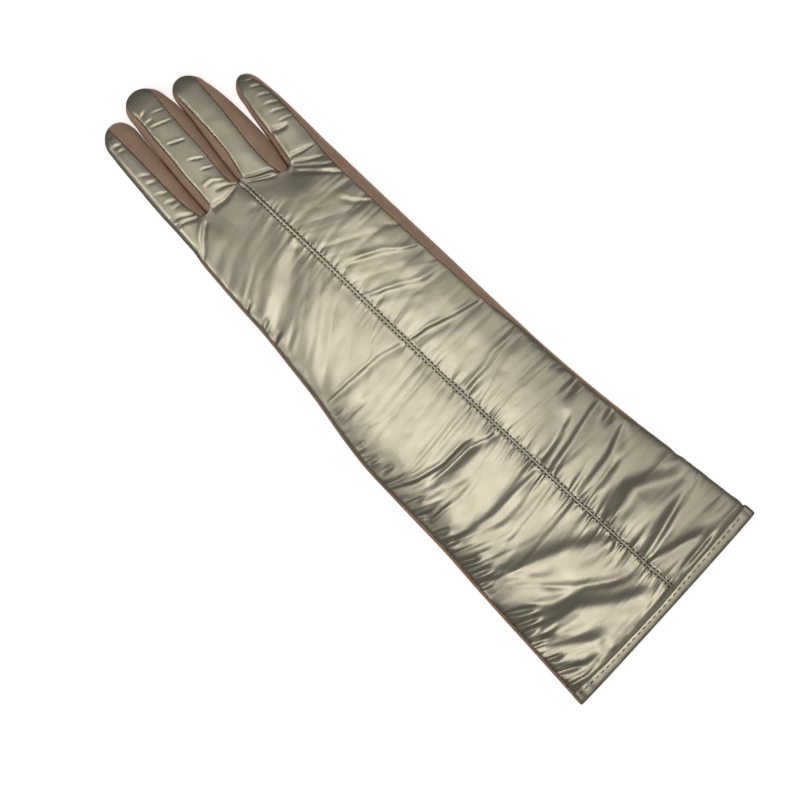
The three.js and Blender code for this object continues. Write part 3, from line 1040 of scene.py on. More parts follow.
# Folds at least this wide on both sides take part in the simulation
BROAD = 2.4

# What is taken off a gather's random line, so that the creases neither raise nor lower the cloth
GATHER_LEVEL = 0.45

# How far the panels run in under the hem
UNDER_HEM = 2.0

# How far the palm's suede shows outside the back's left seam, near the cuff and above it
LEFT_MARGIN = 1.3
HIGH_MARGIN = 0.5

# The two rows of stitches gather the cloth on both sides of them
SEAM_WAVES = ((3.0, 0.9, 3.0), (6.5, 1.0, 7.0), (14.0, 0.9, 18.0))
CENTRE_GATHERS = (Gather(SEAM_WAVES, 0.15, 3), Gather(SEAM_WAVES, -0.15, 4))

# Gathers of the left seam in the cuff and above it, of the right seam and of the hem's seam
LEFT_GATHER = Gather(((3.2, 0.7, 4.0), (6.5, 1.15, 9.0), (13.0, 1.35, 18.0)), 0.45, 5)
HIGH_GATHER = Gather(((3.2, 0.6, 3.0), (6.5, 0.9, 6.0), (13.0, 1.0, 12.0)), -0.6, 11)
RIGHT_GATHER = Gather(((4.0, 0.7, 4.0), (9.0, 1.2, 9.0), (18.0, 1.4, 18.0)), -0.1, 6)
HEM_GATHER = Gather(((5.0, 0.7, 4.0), (11.0, 0.6, 8.0)), 0.1, 7)

# Slow drapes that reach right across the cloth: left and right of the middle, and in the cuff
DRAPE_LEFT = Gather(((11.0, 0.06, 60.0), (21.0, 0.35, 120.0)), 0.75, 8)
DRAPE_RIGHT = Gather(((9.0, 0.08, 50.0), (19.0, 0.32, 90.0)), 0.6, 9)
DRAPE_CUFF = Gather(((8.0, 0.2, 50.0), (15.0, 0.45, 80.0)), 0.1, 10)

# Where the gathers run out towards the roots of the fingers, as y
KNUCKLES = (340.0, 372.0)

# Where the centre seam's gathers grow weaker, then the left seam's, then the drapes, as y
CUFF_END = (110.0, 240.0)
LEFT_CALM = (165.0, 215.0)
HAND_CALM = (315.0, 350.0)

# Where the cuff's creases give way to those of the arm, as y
DRAPE_FROM = (205.0, 250.0)

# Where the suede starts to show along the right edge, as y
EDGE_FROM = 80.0

# Where the double row of stitches runs out between two fingers, as y
CENTRE_END = (376.0, 379.0)

# Half the width of the middle strip at the cuff, which holds the double row of stitches
CENTRE_HALF_BAND = 2.7

# Where each strip starts and ends in plan, at the crotch row and at the hem
CROTCH_LIMITS = (-41.0, *CROTCH_SEAMS, 62.8)
HEM_LIMITS = (-81.0, *(x for _, x in STRIPS[:-1]), 80.6)

# Length that the panels' rows are counted on, from the hem to the crotch row
BODY_LENGTH = 370.0

# Height at which the rise of the palm's underside has faded out on its sides
RISE_GONE = 14.0

# Only faces of the palm's underside, below this height, are cut for the thumb
PALM_TOP = 12.0

# Direction of the thumb's axis in plan, in radians
THUMB_TURN = math.atan2(THUMB_TIP[1] - THUMB_BASE[1], THUMB_TIP[0] - THUMB_BASE[0])

# The hem's section, a loop round its folded edge
HEM_SECTION = np.array([
    # rise from the edge to the seam as a share, millimetres out of the cloth
    [0.98, -1.1], [0.90, -0.25], [0.78, 0.0], [0.55, 0.02], [0.30, 0.0], [0.12, -0.12], [0.03, -0.5],
    [0.00, -1.1], [0.03, -1.7], [0.12, -2.1], [0.40, -2.2], [0.70, -2.2], [0.92, -2.0],
])

# Stitches along the fingers' seams
SEAM_STITCHES = (
    # seam, y of the first and the last, how far to the left of the seam
    ("index_right", 384, 457, 0.7),
    ("middle_left", 384, 455, -0.7),
    ("middle_right", 384, 455, 0.7),
    ("ring_left", 382, 442, -0.7),
    ("ring_right", 366, 440, 0.7),
    ("little_left", 367, 410, -0.7),
    ("edge", 192, 418, 0.7),
)

# Stitches that bar the crotches
CROTCH_STITCHES = (
    # x and y of the middle one, slope of the row
    (-16.4, 378.4, 0.12),
    (11.5, 377.0, 0.0),
    (37.6, 360.4, -0.1),
)


def centre_at(y: Array) -> Array:
    """Middle of the double row of stitches: x at each y."""
    return np.interp(y, CENTRE_SEAM[:, 0], CENTRE_SEAM[:, 1])


def hem_seam_at(x: Array) -> Array:
    """Where the hem's seam crosses: y at each x."""
    return np.interp(x, HEM_SEAM[:, 0], HEM_SEAM[:, 1])


def hem_edge_at(x: Array) -> Array:
    """Where the hem's folded edge lies: y at each x."""
    return np.interp(x, HEM_EDGE[:, 0], HEM_EDGE[:, 1])


@dataclass
class Panel:
    """One face of the glove in one piece: arm, hand and the four fingers.

    Rows of points run across the glove row_step apart, tip_rows of them over each fingertip.
    The hand's form blends into the fingers' over the last blend_reach before the crotches.
    """

    form: Form
    side: Side
    name: str
    row_step: float = 1.2
    tip_rows: int = 12
    blend_reach: float = 22.0

    def across_strip(self, strip: int) -> Array:
        """Places of a strip's columns: even in the gaps, closer at the seams of a finger's strip.

        Args:
            strip: number of the strip.

        Returns:
            Places from 0 to 1.
        """
        even = np.linspace(0.0, 1.0, STRIPS[strip][0] + 1)
        if strip % 2 == 1:
            return even
        rounded = (1.0 - np.cos(math.pi * even)) / 2.0
        return even + (rounded - even) * 0.6

    def columns(self) -> tuple[Array, Array]:
        """Sort the panel's columns into its strips.

        Returns:
            Which strip each column belongs to, and how far across it the column is.
        """
        counts = [count for count, _ in STRIPS]
        strips = np.append(np.repeat(np.arange(len(counts)), counts), len(counts) - 1)
        shares = [self.across_strip(i)[:-1] for i in range(len(counts))]
        return strips, np.append(np.concatenate(shares), 1.0)

    def mirrored(self, angle: Array) -> Array:
        """The same seam on this panel's face: kept for the back, mirrored below for the palm."""
        return angle if self.side is Side.BACK else 2.0 * math.pi - angle

    def outer_right(self, angle: Array) -> Array:
        """The right-hand seam's angle, counted on round under the palm."""
        return angle if self.side is Side.BACK else 2.0 * math.pi + angle

    def tube_points(self, tube: Tube, angle: Array, y: Array) -> Array:
        """Points of a tube, with the palm's underside raised over the folded thumb.

        The rise is full on the flat underside and fades out towards the sides.

        Args:
            tube: the stretch of the glove.
            angle: angles around its section.
            y: places along.

        Returns:
            An array with x, y and z last.
        """
        points = tube.point(angle, y)
        if self.side is Side.PALM:
            under = np.clip(-np.sin(angle) * 3.0, 0.0, 1.0)
            low = 1.0 - np.clip(points[..., 2] / RISE_GONE, 0.0, 1.0)
            points[..., 2] += self.form.thumb_rise(points[..., 0], points[..., 1]) * under * low
        return points

    def body_angles(self, y: Array, share: Array) -> Array:
        """Angles of the strips' limits, even at the cuff and on the fingers' seams at the crotch row.

        The strip along the middle follows the double row of stitches.

        Args:
            y: places along, by row and column.
            share: how far up from the hem each is, from 0 to 1.

        Returns:
            One layer of angles for each limit, from the left seam to the right one.
        """
        form = self.form
        middle = centre_at(y)
        beside_middle = {2: -CENTRE_HALF_BAND, 3: CENTRE_HALF_BAND}
        turn = smoothstep(share, 0.25, 0.95)
        angles = [form.left_seam(y)]
        for i, ((_, low), high) in enumerate(zip(STRIPS[:-1], CROTCH_SEAMS)):
            start = middle + beside_middle[i] if i in beside_middle else low
            angles.append(self.mirrored(form.body.angle_at(start * (1 - turn) + high * turn, y)))
        angles.append(self.outer_right(form.right_seam(y)))
        return np.stack(angles)

    def finger_span(self, name: Finger, y: Array) -> tuple[Array, Array]:
        """Angles of a finger's left and right seams on this face.

        Args:
            name: the finger.
            y: places along.

        Returns:
            The left and the right angles.
        """
        left, right = self.form.finger_seams(name, y)
        if name is not Finger.INDEX:
            left = self.mirrored(left)
        right = self.outer_right(right) if name is Finger.LITTLE else self.mirrored(right)
        return left, right

    def towards_fingers(self, y: Array, strips: Array, shares: Array) -> Array:
        """The columns on the fingers' own forms: strips on the tubes, gaps straight between them.

        Args:
            y: places along, by row and column.
            strips: the strip of each column.
            shares: how far across its strip each column is.

        Returns:
            Points by row and column.
        """
        result = np.zeros(y.shape + (3,))
        names, tubes = list(Finger), self.form.fingers
        for i in range(len(STRIPS)):
            mask = strips == i
            part_y, share = y[:, mask], shares[mask][None, :]
            before = names[i // 2]
            left, right = self.finger_span(before, part_y)
            if i % 2 == 0:
                result[:, mask] = self.tube_points(tubes[before], left + (right - left) * share, part_y)
            else:
                after = names[i // 2 + 1]
                near = self.tube_points(tubes[before], right, part_y)
                far = self.tube_points(tubes[after], self.finger_span(after, part_y)[0], part_y)
                result[:, mask] = near + (far - near) * share[..., None]
        return result

    def body_grid(self) -> Array:
        """Points of the arm and hand, row by row from the hem seam to the crotch row.

        Returns:
            Points by row and column.
        """
        strips, shares = self.columns()
        limits = np.array(CROTCH_LIMITS)
        crotch_x = limits[strips] + (limits[strips + 1] - limits[strips]) * shares
        crotch_y = np.interp(crotch_x, CROTCH_ROW[:, 0], CROTCH_ROW[:, 1])
        limits = np.array(HEM_LIMITS)
        hem_y = hem_seam_at(limits[strips] + (limits[strips + 1] - limits[strips]) * shares) - UNDER_HEM
        rows = int(round(BODY_LENGTH / self.row_step)) + 1
        share = np.linspace(0.0, 1.0, rows)[:, None]
        y = hem_y[None, :] + (crotch_y - hem_y)[None, :] * share
        angles = self.body_angles(y, np.broadcast_to(share, y.shape))
        row, column = np.arange(rows)[:, None], np.arange(len(strips))[None, :]
        low, high = angles[strips[None, :], row, column], angles[strips[None, :] + 1, row, column]
        points = self.tube_points(self.form.body, low + (high - low) * shares[None, :], y)
        towards = self.towards_fingers(y, strips, shares)
        weight = smoothstep(y - (crotch_y[None, :] - self.blend_reach), 0.0, self.blend_reach)
        return points + (towards - points) * weight[..., None]

    def finger_grid(self, name: Finger, start_y: Array, across: Array) -> Array:
        """Points of one finger from the crotch row to the tip.

        Along the straight stretch the rows are even. Over the tip they follow a quarter
        circle, so that y = last + reach * sin(a).

        Args:
            name: the finger.
            start_y: y of each column at the crotch row.
            across: place of each column from 0 to 1.

        Returns:
            Rows of points, the first on the crotch row and the last all at the tip.
        """
        tube = self.form.fingers[name]
        straight = int(round((tube.last - start_y.mean()) / self.row_step))
        share = np.arange(straight + 1)[:, None] / straight
        y = start_y[None, :] + (tube.last - start_y)[None, :] * share
        turn = np.arange(1, self.tip_rows + 1)[:, None] / self.tip_rows * (math.pi / 2)
        tip_y = tube.last + (tube.tip[1] - tube.last) * np.sin(turn)
        y = np.concatenate([y, np.broadcast_to(tip_y, (self.tip_rows, len(start_y)))])
        left, right = self.finger_span(name, y)
        return self.tube_points(tube, left + (right - left) * across[None, :], y)

    def shaped(self, grid: Array, is_body: bool) -> Array:
        """A hook for what a face adds to its bare form: a plain panel adds nothing."""
        return grid

    def sheet(self) -> tuple[Array, Array, Array]:
        """The whole face as one sheet.

        Returns:
            Points in glove millimetres, quads facing out, and the numbers of the points that
            are sewn: those on the rim and on the strip along the centre seam.
        """
        body = self.body_grid()
        rows, columns = body.shape[:2]
        strips, _ = self.columns()
        points, faces = [self.shaped(body, True).reshape(-1, 3)], [grid_faces(rows, columns)]
        total, last_row = rows * columns, (rows - 1) * columns
        for i, name in enumerate(Finger):
            first = int(np.argmax(strips == 2 * i))
            last = first + STRIPS[2 * i][0]
            width = last - first + 1
            grid = self.finger_grid(name, body[-1, first:last + 1, 1], self.across_strip(2 * i))
            points.append(self.shaped(grid, False)[1:].reshape(-1, 3))
            added = (len(grid) - 1) * width
            numbers = np.concatenate([
                last_row + np.arange(first, last + 1)[None, :],
                total + np.arange(added).reshape(-1, width),
            ])
            faces.append(numbers.ravel()[grid_faces(len(grid), width)])
            total += added
        quads = np.concatenate(faces)
        if self.side is Side.PALM:
            quads = quads[:, ::-1]
        seam = sum(count for count, _ in STRIPS[:3])
        centre = np.arange(rows)[:, None] * columns + np.arange(seam, seam + STRIPS[3][0] + 1)[None, :]
        return np.concatenate(points), quads, np.union1d(self.rim_numbers(quads), centre)

    def rim_numbers(self, quads: Array) -> Array:
        """Find the points on edges that belong to one face only.

        Args:
            quads: four point numbers a face.

        Returns:
            The points' numbers.
        """
        edges = np.concatenate([quads[:, [i, (i + 1) % 4]] for i in range(4)])
        edges.sort(axis=1)
        unique, count = np.unique(edges, axis=0, return_counts=True)
        return np.unique(unique[count == 1])


@dataclass(frozen=True)
class ClothRun:
    """Settings of the cloth simulation of the padded back.

    The run is made at a larger scale, where the solver's steps suit it. The cloth is cut longer
    than its seams by gather_along and gather_across. Averaging over so many rounds gives the
    even rise that the pressure brings, of which only the share called bulk stays. The rest is
    softened over a few rounds more, and no point moves further than most, in millimetres.
    """

    scale: float = 20.0
    frames: int = 8
    gather_along: float = 1.025
    gather_across: float = 1.0
    pressure: float = 0.5
    bulk: float = 0.05
    rounds: int = 60
    soften: int = 6
    most: float = 0.6
    quality: int = 5
    mass: float = 0.01
    stretch: float = 15.0
    shear: float = 5.0
    bending: float = 0.1
    air: float = 1.0

    def attach(self, piece: bpy.types.Object, rest_key: bpy.types.ShapeKey, pins: str) -> None:
        """Put the cloth on a piece.

        Args:
            piece: the sheet.
            rest_key: the shape that the cloth is cut to.
            pins: name of the group of points that stay in place.
        """
        cloth = piece.modifiers.new("cloth", "CLOTH")
        settings = cloth.settings
        settings.quality = self.quality
        settings.mass = self.mass
        settings.tension_stiffness = self.stretch
        settings.compression_stiffness = self.stretch
        settings.shear_stiffness = self.shear
        settings.bending_stiffness = self.bending
        settings.air_damping = self.air
        settings.vertex_group_mass = pins
        settings.pin_stiffness = 1.0
        settings.use_pressure = True
        settings.uniform_pressure_force = self.pressure
        settings.effector_weights.gravity = 0.0
        settings.rest_shape_key = rest_key
        cloth.collision_settings.use_collision = False
        cloth.point_cache.frame_start = 1
        cloth.point_cache.frame_end = self.frames

    def limited(self, change: Array, edges: Array, pinned: Array) -> Array:
        """What is kept of the cloth's movement: its small unevenness, never more than most.

        The even part is found by spreading the change, and all but the share called bulk is
        taken out. A movement of length d becomes most * tanh(d / most).

        Args:
            change: the movement of each point, in metres.
            edges: pairs of point numbers.
            pinned: numbers of the points that stay in place.

        Returns:
            The movement kept.
        """
        even = spread(change, edges, self.rounds, pinned)
        change = spread(change - even * (1.0 - self.bulk), edges, self.soften, pinned)
        length = np.linalg.norm(change, axis=1, keepdims=True)
        log.info("cloth moved by up to %.2f mm, mean %.2f mm", length.max() / MM, length.mean() / MM)
        most = self.most * MM
        return change * (np.tanh(length / most) * most / np.maximum(length, 1e-9))


@dataclass
class BackPanel(Panel):
    """The metallic padded back, puffed and gathered by a cloth simulation.

    Its edges dip by edge_dip over edge_width, and by hem_dip over hem_width at the hem. Over
    the fingertips the share called tip_kept stays of that. All are in millimetres.
    """

    wall: float = 1.5
    edge_dip: float = 0.9
    edge_width: float = 1.2
    hem_dip: float = 1.2
    hem_width: float = 3.6
    tip_kept: float = 0.15
    run: ClothRun = field(default_factory=ClothRun)

    def shaped(self, grid: Array, is_body: bool) -> Array:
        """Add the broad folds and roll the edges in along the seams.

        The edges sink by dip * exp(-(d / width)^2), where d is the distance to the seam. The
        folds fade out at the seams.

        Args:
            grid: points row by row.
            is_body: the grid starts at the hem seam.

        Returns:
            The moved points.
        """
        broad, _ = all_folds()
        lift = fold_relief(broad, grid[..., 0], grid[..., 1])
        near = from_rims(grid)
        dip = self.edge_dip * bump(near, self.edge_width)
        fade = np.clip(near / 2.5, 0.0, 1.0)
        if is_body:
            from_hem = grid[..., 1] - grid[:1, :, 1]
            dip = np.maximum(dip, self.hem_dip * bump(from_hem, self.hem_width))
            fade = fade * smoothstep(from_hem, 1.0, 9.0)
        else:
            row = np.arange(len(grid))[:, None]
            over_tip = smoothstep(row, len(grid) - self.tip_rows - 4.0, len(grid) - 3.0)
            dip = dip * (1.0 - (1.0 - self.tip_kept) * over_tip)
        return grid + grid_normals(grid) * (lift * fade - dip)[..., None]

    def simulate(self, piece: bpy.types.Object, pinned: Array) -> None:
        """Puff the panel with its seams pinned, and apply the result.

        The cloth is cut longer than its seams, so it buckles across them, and the pressure
        stands for the padding below. What it moves is then evened out and limited.

        Args:
            piece: the panel, a plain sheet.
            pinned: numbers of the points that stay in place.
        """
        mesh, run = piece.data, self.run
        rest = read_points(mesh)
        big = rest * run.scale
        write_points(mesh, big)
        piece.shape_key_add(name="Basis")
        cut = piece.shape_key_add(name="cut")
        cut.data.foreach_set("co", (big * np.array([run.gather_across, run.gather_along, 1.0])).ravel())
        piece.vertex_groups.new(name="held").add(pinned.tolist(), 1.0, "REPLACE")
        run.attach(piece, cut, "held")
        scene = bpy.context.scene
        for frame in range(1, run.frames + 1):
            scene.frame_set(frame)
        moved = read_points(piece.evaluated_get(bpy.context.evaluated_depsgraph_get()).data) / run.scale
        scene.frame_set(1)
        piece.modifiers.clear()
        piece.shape_key_clear()
        piece.vertex_groups.clear()
        edges = np.zeros(len(mesh.edges) * 2, dtype=np.int32)
        mesh.edges.foreach_get("vertices", edges)
        write_points(mesh, rest + run.limited(moved - rest, edges.reshape(-1, 2), pinned))

    def seam_gathers(self, x: Array, y: Array) -> Array:
        """Height of the creases that the centre seam and the side seams send into the cloth.

        They are full in the cuff, weaker above it, and end at the knuckles.

        Args:
            x: places across.
            y: places along.

        Returns:
            Millimetres up at each place.
        """
        body, middle = self.form.body, centre_at(y)
        away = np.abs(x - middle)
        cuff = 1.0 - smoothstep(y, *CUFF_END)
        above = smoothstep(y, *DRAPE_FROM)
        height = np.zeros_like(x)
        for gather, side in zip(CENTRE_GATHERS, (-1.0, 1.0)):
            creases = np.where((x - middle) * side > 0, gather.relief(np.maximum(away - 1.6, 0.0), y), 0.0)
            height += creases * (0.35 + 0.65 * cuff) * np.clip(away - CENTRE_HALF_GAP, 0.0, 1.0)
        from_left = x - body.left(y) - LEFT_MARGIN
        left = LEFT_GATHER.relief(from_left, y) * (1.0 - above) + HIGH_GATHER.relief(from_left, y) * above
        height += left * np.clip(from_left / 4.0, 0.0, 1.0) * (1.0 - 0.4 * smoothstep(y, *LEFT_CALM))
        seam = self.form.seams["edge"](np.maximum(y, EDGE_FROM))
        out_of_sight = 200.0 * (1.0 - smoothstep(y, EDGE_FROM, EDGE_FROM + 1.0))
        from_right = np.minimum(body.right(y), seam + out_of_sight) - x
        right = RIGHT_GATHER.relief(from_right, y) * (0.45 + 0.3 * cuff)
        height += right * np.clip(from_right / 4.0, 0.0, 1.0)
        return height * (1.0 - smoothstep(y, *KNUCKLES))

    def drape(self, x: Array, y: Array) -> Array:
        """Height of the slow drapes, which start beside the centre seam and end at the knuckles.

        Args:
            x: places across.
            y: places along.

        Returns:
            Millimetres up at each place.
        """
        middle = centre_at(y)
        away = np.abs(x - middle)
        above = smoothstep(y, *DRAPE_FROM)
        sloping = np.where(x < middle, DRAPE_LEFT.relief(away, y), DRAPE_RIGHT.relief(away, y))
        both = sloping * above + DRAPE_CUFF.relief(away, y) * (1.0 - above)
        fade = (1.0 - 0.8 * smoothstep(y, *HAND_CALM)) * (1.0 - smoothstep(y, *KNUCKLES))
        return both * np.clip(away / 6.0, 0.0, 1.0) * fade

    def stitch_channel(self, x: Array, y: Array) -> Array:
        """Depth of the two rows of stitches, with the raised band between them and the pull around.

        With the distance d to the middle it is 0.35 exp(-(d/0.75)^2) of band, less
        0.45 exp(-((d - gap)/0.6)^2) of rows and 0.15 exp(-(d/5)^2) of pull.

        Args:
            x: places across.
            y: places along.

        Returns:
            Millimetres up at each place.
        """
        away = np.abs(x - centre_at(y))
        section = 0.35 * bump(away, 0.75) - 0.45 * bump(away - CENTRE_HALF_GAP, 0.6) - 0.15 * bump(away, 5.0)
        return section * (1.0 - smoothstep(y, *CENTRE_END))

    def fine_relief(self, points: Array) -> Array:
        """Small creases, gathers, drapes and the channel of the stitches.

        Args:
            points: rows of x, y and z in glove millimetres.

        Returns:
            Millimetres out of the cloth at each point.
        """
        x, y = points[:, 0], points[:, 1]
        _, narrow = all_folds()
        from_hem = y - hem_seam_at(x)
        height = fold_relief(narrow, x, y) + self.seam_gathers(x, y) + self.drape(x, y)
        height += HEM_GATHER.relief(from_hem, x) * np.clip(from_hem / 2.5, 0.0, 1.0)
        return height * smoothstep(from_hem, 0.5, 4.0) + self.stitch_channel(x, y)

    def build(self) -> bpy.types.Object:
        """Make the whole panel: sheet, simulation, fine relief and wall.

        Returns:
            The finished piece.
        """
        points, faces, pinned = joined(*self.sheet())
        piece = make_object(self.name, self.form.to_frame(points), faces)
        self.simulate(piece, pinned)
        refine(piece)
        mesh = piece.data
        place = read_points(mesh)
        normal = np.zeros(len(mesh.vertices) * 3)
        mesh.vertex_normals.foreach_get("vector", normal)
        lift = self.fine_relief(self.form.to_glove(place)) * MM
        write_points(mesh, place + normal.reshape(-1, 3) * lift[:, None])
        thicken(piece, self.wall)
        return piece


@dataclass
class PalmPanel(Panel):
    """The suede palm side, with the thumb's opening."""

    row_step: float = 2.4
    wall: float = 1.1

    def shaped(self, grid: Array, is_body: bool) -> Array:
        """Add slow waves that only lift the cloth, and tuck the seam edges in.

        The waves are products of sines of x and y, up to 0.5 mm. The edges move in by
        0.5 * exp(-(d / 1.2)^2), where d is the distance to the seam.

        Args:
            grid: points row by row.
            is_body: not used here.

        Returns:
            The moved points.
        """
        x, y = grid[..., 0], grid[..., 1]
        waves = 0.25 * (1.0 + np.sin(x / 9.0 + y / 23.0) * np.sin(y / 13.0 - x / 31.0))
        waves *= np.clip(1.0 - grid[..., 2] / 8.0, 0.0, 1.0)
        return grid + grid_normals(grid) * (waves + 0.5 * bump(from_rims(grid), 1.2))[..., None]

    def build(self) -> bpy.types.Object:
        """Make the panel with its oval hole over the thumb's root.

        Returns:
            The finished piece.
        """
        points, quads, _ = self.sheet()
        middle = points[quads].mean(axis=1)
        in_hole = in_thumb_oval(middle) & (middle[:, 2] < PALM_TOP)
        piece = make_object(self.name, self.form.to_frame(points), quads[~in_hole])
        refine(piece)
        thicken(piece, self.wall)
        return piece


def turned(points: Array) -> tuple[Array, Array]:
    """Places in the thumb's own axes.

    Args:
        points: rows of x, y and z in glove millimetres.

    Returns:
        Millimetres along and across the thumb's axis, measured from its root.
    """
    x, y = points[:, 0] - THUMB_BASE[0], points[:, 1] - THUMB_BASE[1]
    cosine, sine = math.cos(THUMB_TURN), math.sin(THUMB_TURN)
    return x * cosine + y * sine, -x * sine + y * cosine


def in_thumb_oval(points: Array) -> Array:
    """Which points lie, in plan, in the oval where the thumb's root opens to the palm."""
    along, across = turned(points)
    return (along / THUMB_OVAL[0]) ** 2 + (across / THUMB_OVAL[1]) ** 2 < 1.0


@dataclass
class Fourchette:
    """The suede side walls between two fingers: down one finger, round the crotch, up the next.

    The walls start at start_before and start_after, and between them the strip dips towards the
    cuff. As far as touch_to the walls press together, each moved by up to meet.
    """

    form: Form
    before: Finger
    after: Finger
    start_before: float
    start_after: float
    dip: float
    touch_to: float
    meet: float = 0.4
    row_step: float = 1.6
    round_rows: int = 10
    across: int = 18
    wall: float = 1.0

    def side_points(self, name: Finger, y: Array, is_left_side: bool) -> Array:
        """One finger's side wall, from seam to seam, pressed against its neighbour's.

        The wall moves by meet * sin(pi * share^2), with the share across it from 0 to 1.

        Args:
            name: the finger.
            y: places along, one to a row.
            is_left_side: the wall is the finger's left one.

        Returns:
            Points by row and column.
        """
        left, right = self.form.finger_seams(name, y)
        seam = left if is_left_side else right
        end = 2.0 * math.pi - seam if is_left_side else -seam
        share = np.linspace(0.0, 1.0, self.across + 1)[None, :]
        angle = seam + (end - seam) * share
        wall = self.form.fingers[name].point(angle, np.broadcast_to(y, angle.shape))
        closed = 1.0 - smoothstep(y, self.touch_to - 10.0, self.touch_to + 4.0)
        outwards = -1.0 if is_left_side else 1.0
        wall[..., 0] += outwards * self.meet * closed * np.sin(math.pi * share ** 2.0)
        return wall

    def heights(self, name: Finger, start: float) -> Array:
        """Rows from the crotch to the tip, closer over the tip.

        Args:
            name: the finger.
            start: y of the first row.

        Returns:
            The rows' y as a column.
        """
        tube = self.form.fingers[name]
        straight = np.linspace(start, tube.last, int(round((tube.last - start) / self.row_step)) + 1)
        turn = np.arange(1, self.round_rows + 1) / self.round_rows * (math.pi / 2)
        return np.concatenate([straight, tube.last + (tube.tip[1] - tube.last) * np.sin(turn)])[:, None]

    def build(self) -> bpy.types.Object:
        """Make the strip with its wall.

        Round the crotch it is a half circle in plan, from one finger's first row, near, to the
        next one's, far: near + (far - near) * (1 - cos(turn)) / 2, moved towards the cuff by
        dip * sin(turn).

        Returns:
            The finished piece.
        """
        before = self.side_points(self.before, self.heights(self.before, self.start_before), False)
        after = self.side_points(self.after, self.heights(self.after, self.start_after), True)
        turn = np.arange(1, self.round_rows)[:, None] / self.round_rows * math.pi
        near, far = before[0][None], after[0][None]
        crotch = near + (far - near) * ((1.0 - np.cos(turn)) / 2.0)[..., None]
        crotch[..., 1] -= self.dip * np.sin(turn)
        grid = np.concatenate([before[::-1], crotch, after])
        quads = grid_faces(*grid.shape[:2])[:, ::-1]
        name = f"fourchette_{self.before.value}_{self.after.value}_suede"
        piece = make_object(name, self.form.to_frame(grid), quads)
        refine(piece)
        thicken(piece, self.wall)
        return piece


@dataclass
class Thumb:
    """The suede thumb, folded flat under the palm, with its root open to the palm.

    It lies clearance above the surface, and is round at its ends over cap_rows rows.
    """

    form: Form
    wall: float = 1.1
    around: int = 40
    rows: int = 34
    cap_rows: int = 10
    clearance: float = 0.05

    def surface(self) -> Array:
        """The flat tube: a rounded oblong section swept along the thumb, closed over both ends.

        The section is z = h/2 * (1 + sign(sin a) * (1 - |cos a|^4)^(1/4)), and over each end
        its width shrinks as a quarter circle.

        Returns:
            Points by row along the thumb and column around it.
        """
        length = float(np.hypot(THUMB_TIP[0] - THUMB_BASE[0], THUMB_TIP[1] - THUMB_BASE[1]))
        cap = np.arange(0, self.cap_rows + 1) / self.cap_rows * (math.pi / 2)
        middle = np.linspace(0.0, length, self.rows)[1:-1]
        start, end = -THUMB_ENDS[0] * np.cos(cap), length + THUMB_ENDS[1] * np.sin(cap)
        along = np.concatenate([start, middle, end])[:, None]
        size = np.concatenate([np.sin(cap), np.ones(len(middle)), np.cos(cap)])[:, None]
        half = THUMB_HALF[0] + (THUMB_HALF[1] - THUMB_HALF[0]) * np.clip(along / length, 0.0, 1.0)
        angle = np.arange(self.around)[None, :] / self.around * 2.0 * math.pi
        across = half * size * np.cos(angle)
        rounded = (1.0 - np.abs(np.cos(angle)) ** 4) ** 0.25 * np.sign(np.sin(angle))
        z = THUMB_HEIGHT / 2 * (1.0 + rounded * np.minimum(size * 1.6, 1.0)) + self.clearance
        cosine, sine = math.cos(THUMB_TURN), math.sin(THUMB_TURN)
        x = THUMB_BASE[0] + along * cosine - across * sine
        y = THUMB_BASE[1] + along * sine + across * cosine
        return np.stack(np.broadcast_arrays(x, y, z), axis=-1)

    def build(self) -> bpy.types.Object:
        """Make the tube with its oval hole on the side of the palm.

        Returns:
            The finished piece.
        """
        grid = self.surface()
        quads = grid_faces(*grid.shape[:2], wrap=True)
        centre = grid.reshape(-1, 3)[quads].mean(axis=1)
        in_hole = in_thumb_oval(centre) & (centre[:, 2] > THUMB_HEIGHT / 2)
        piece = make_object("thumb_suede", self.form.to_frame(grid), quads[~in_hole])
        merge_close(piece)
        thicken(piece, self.wall)
        return piece


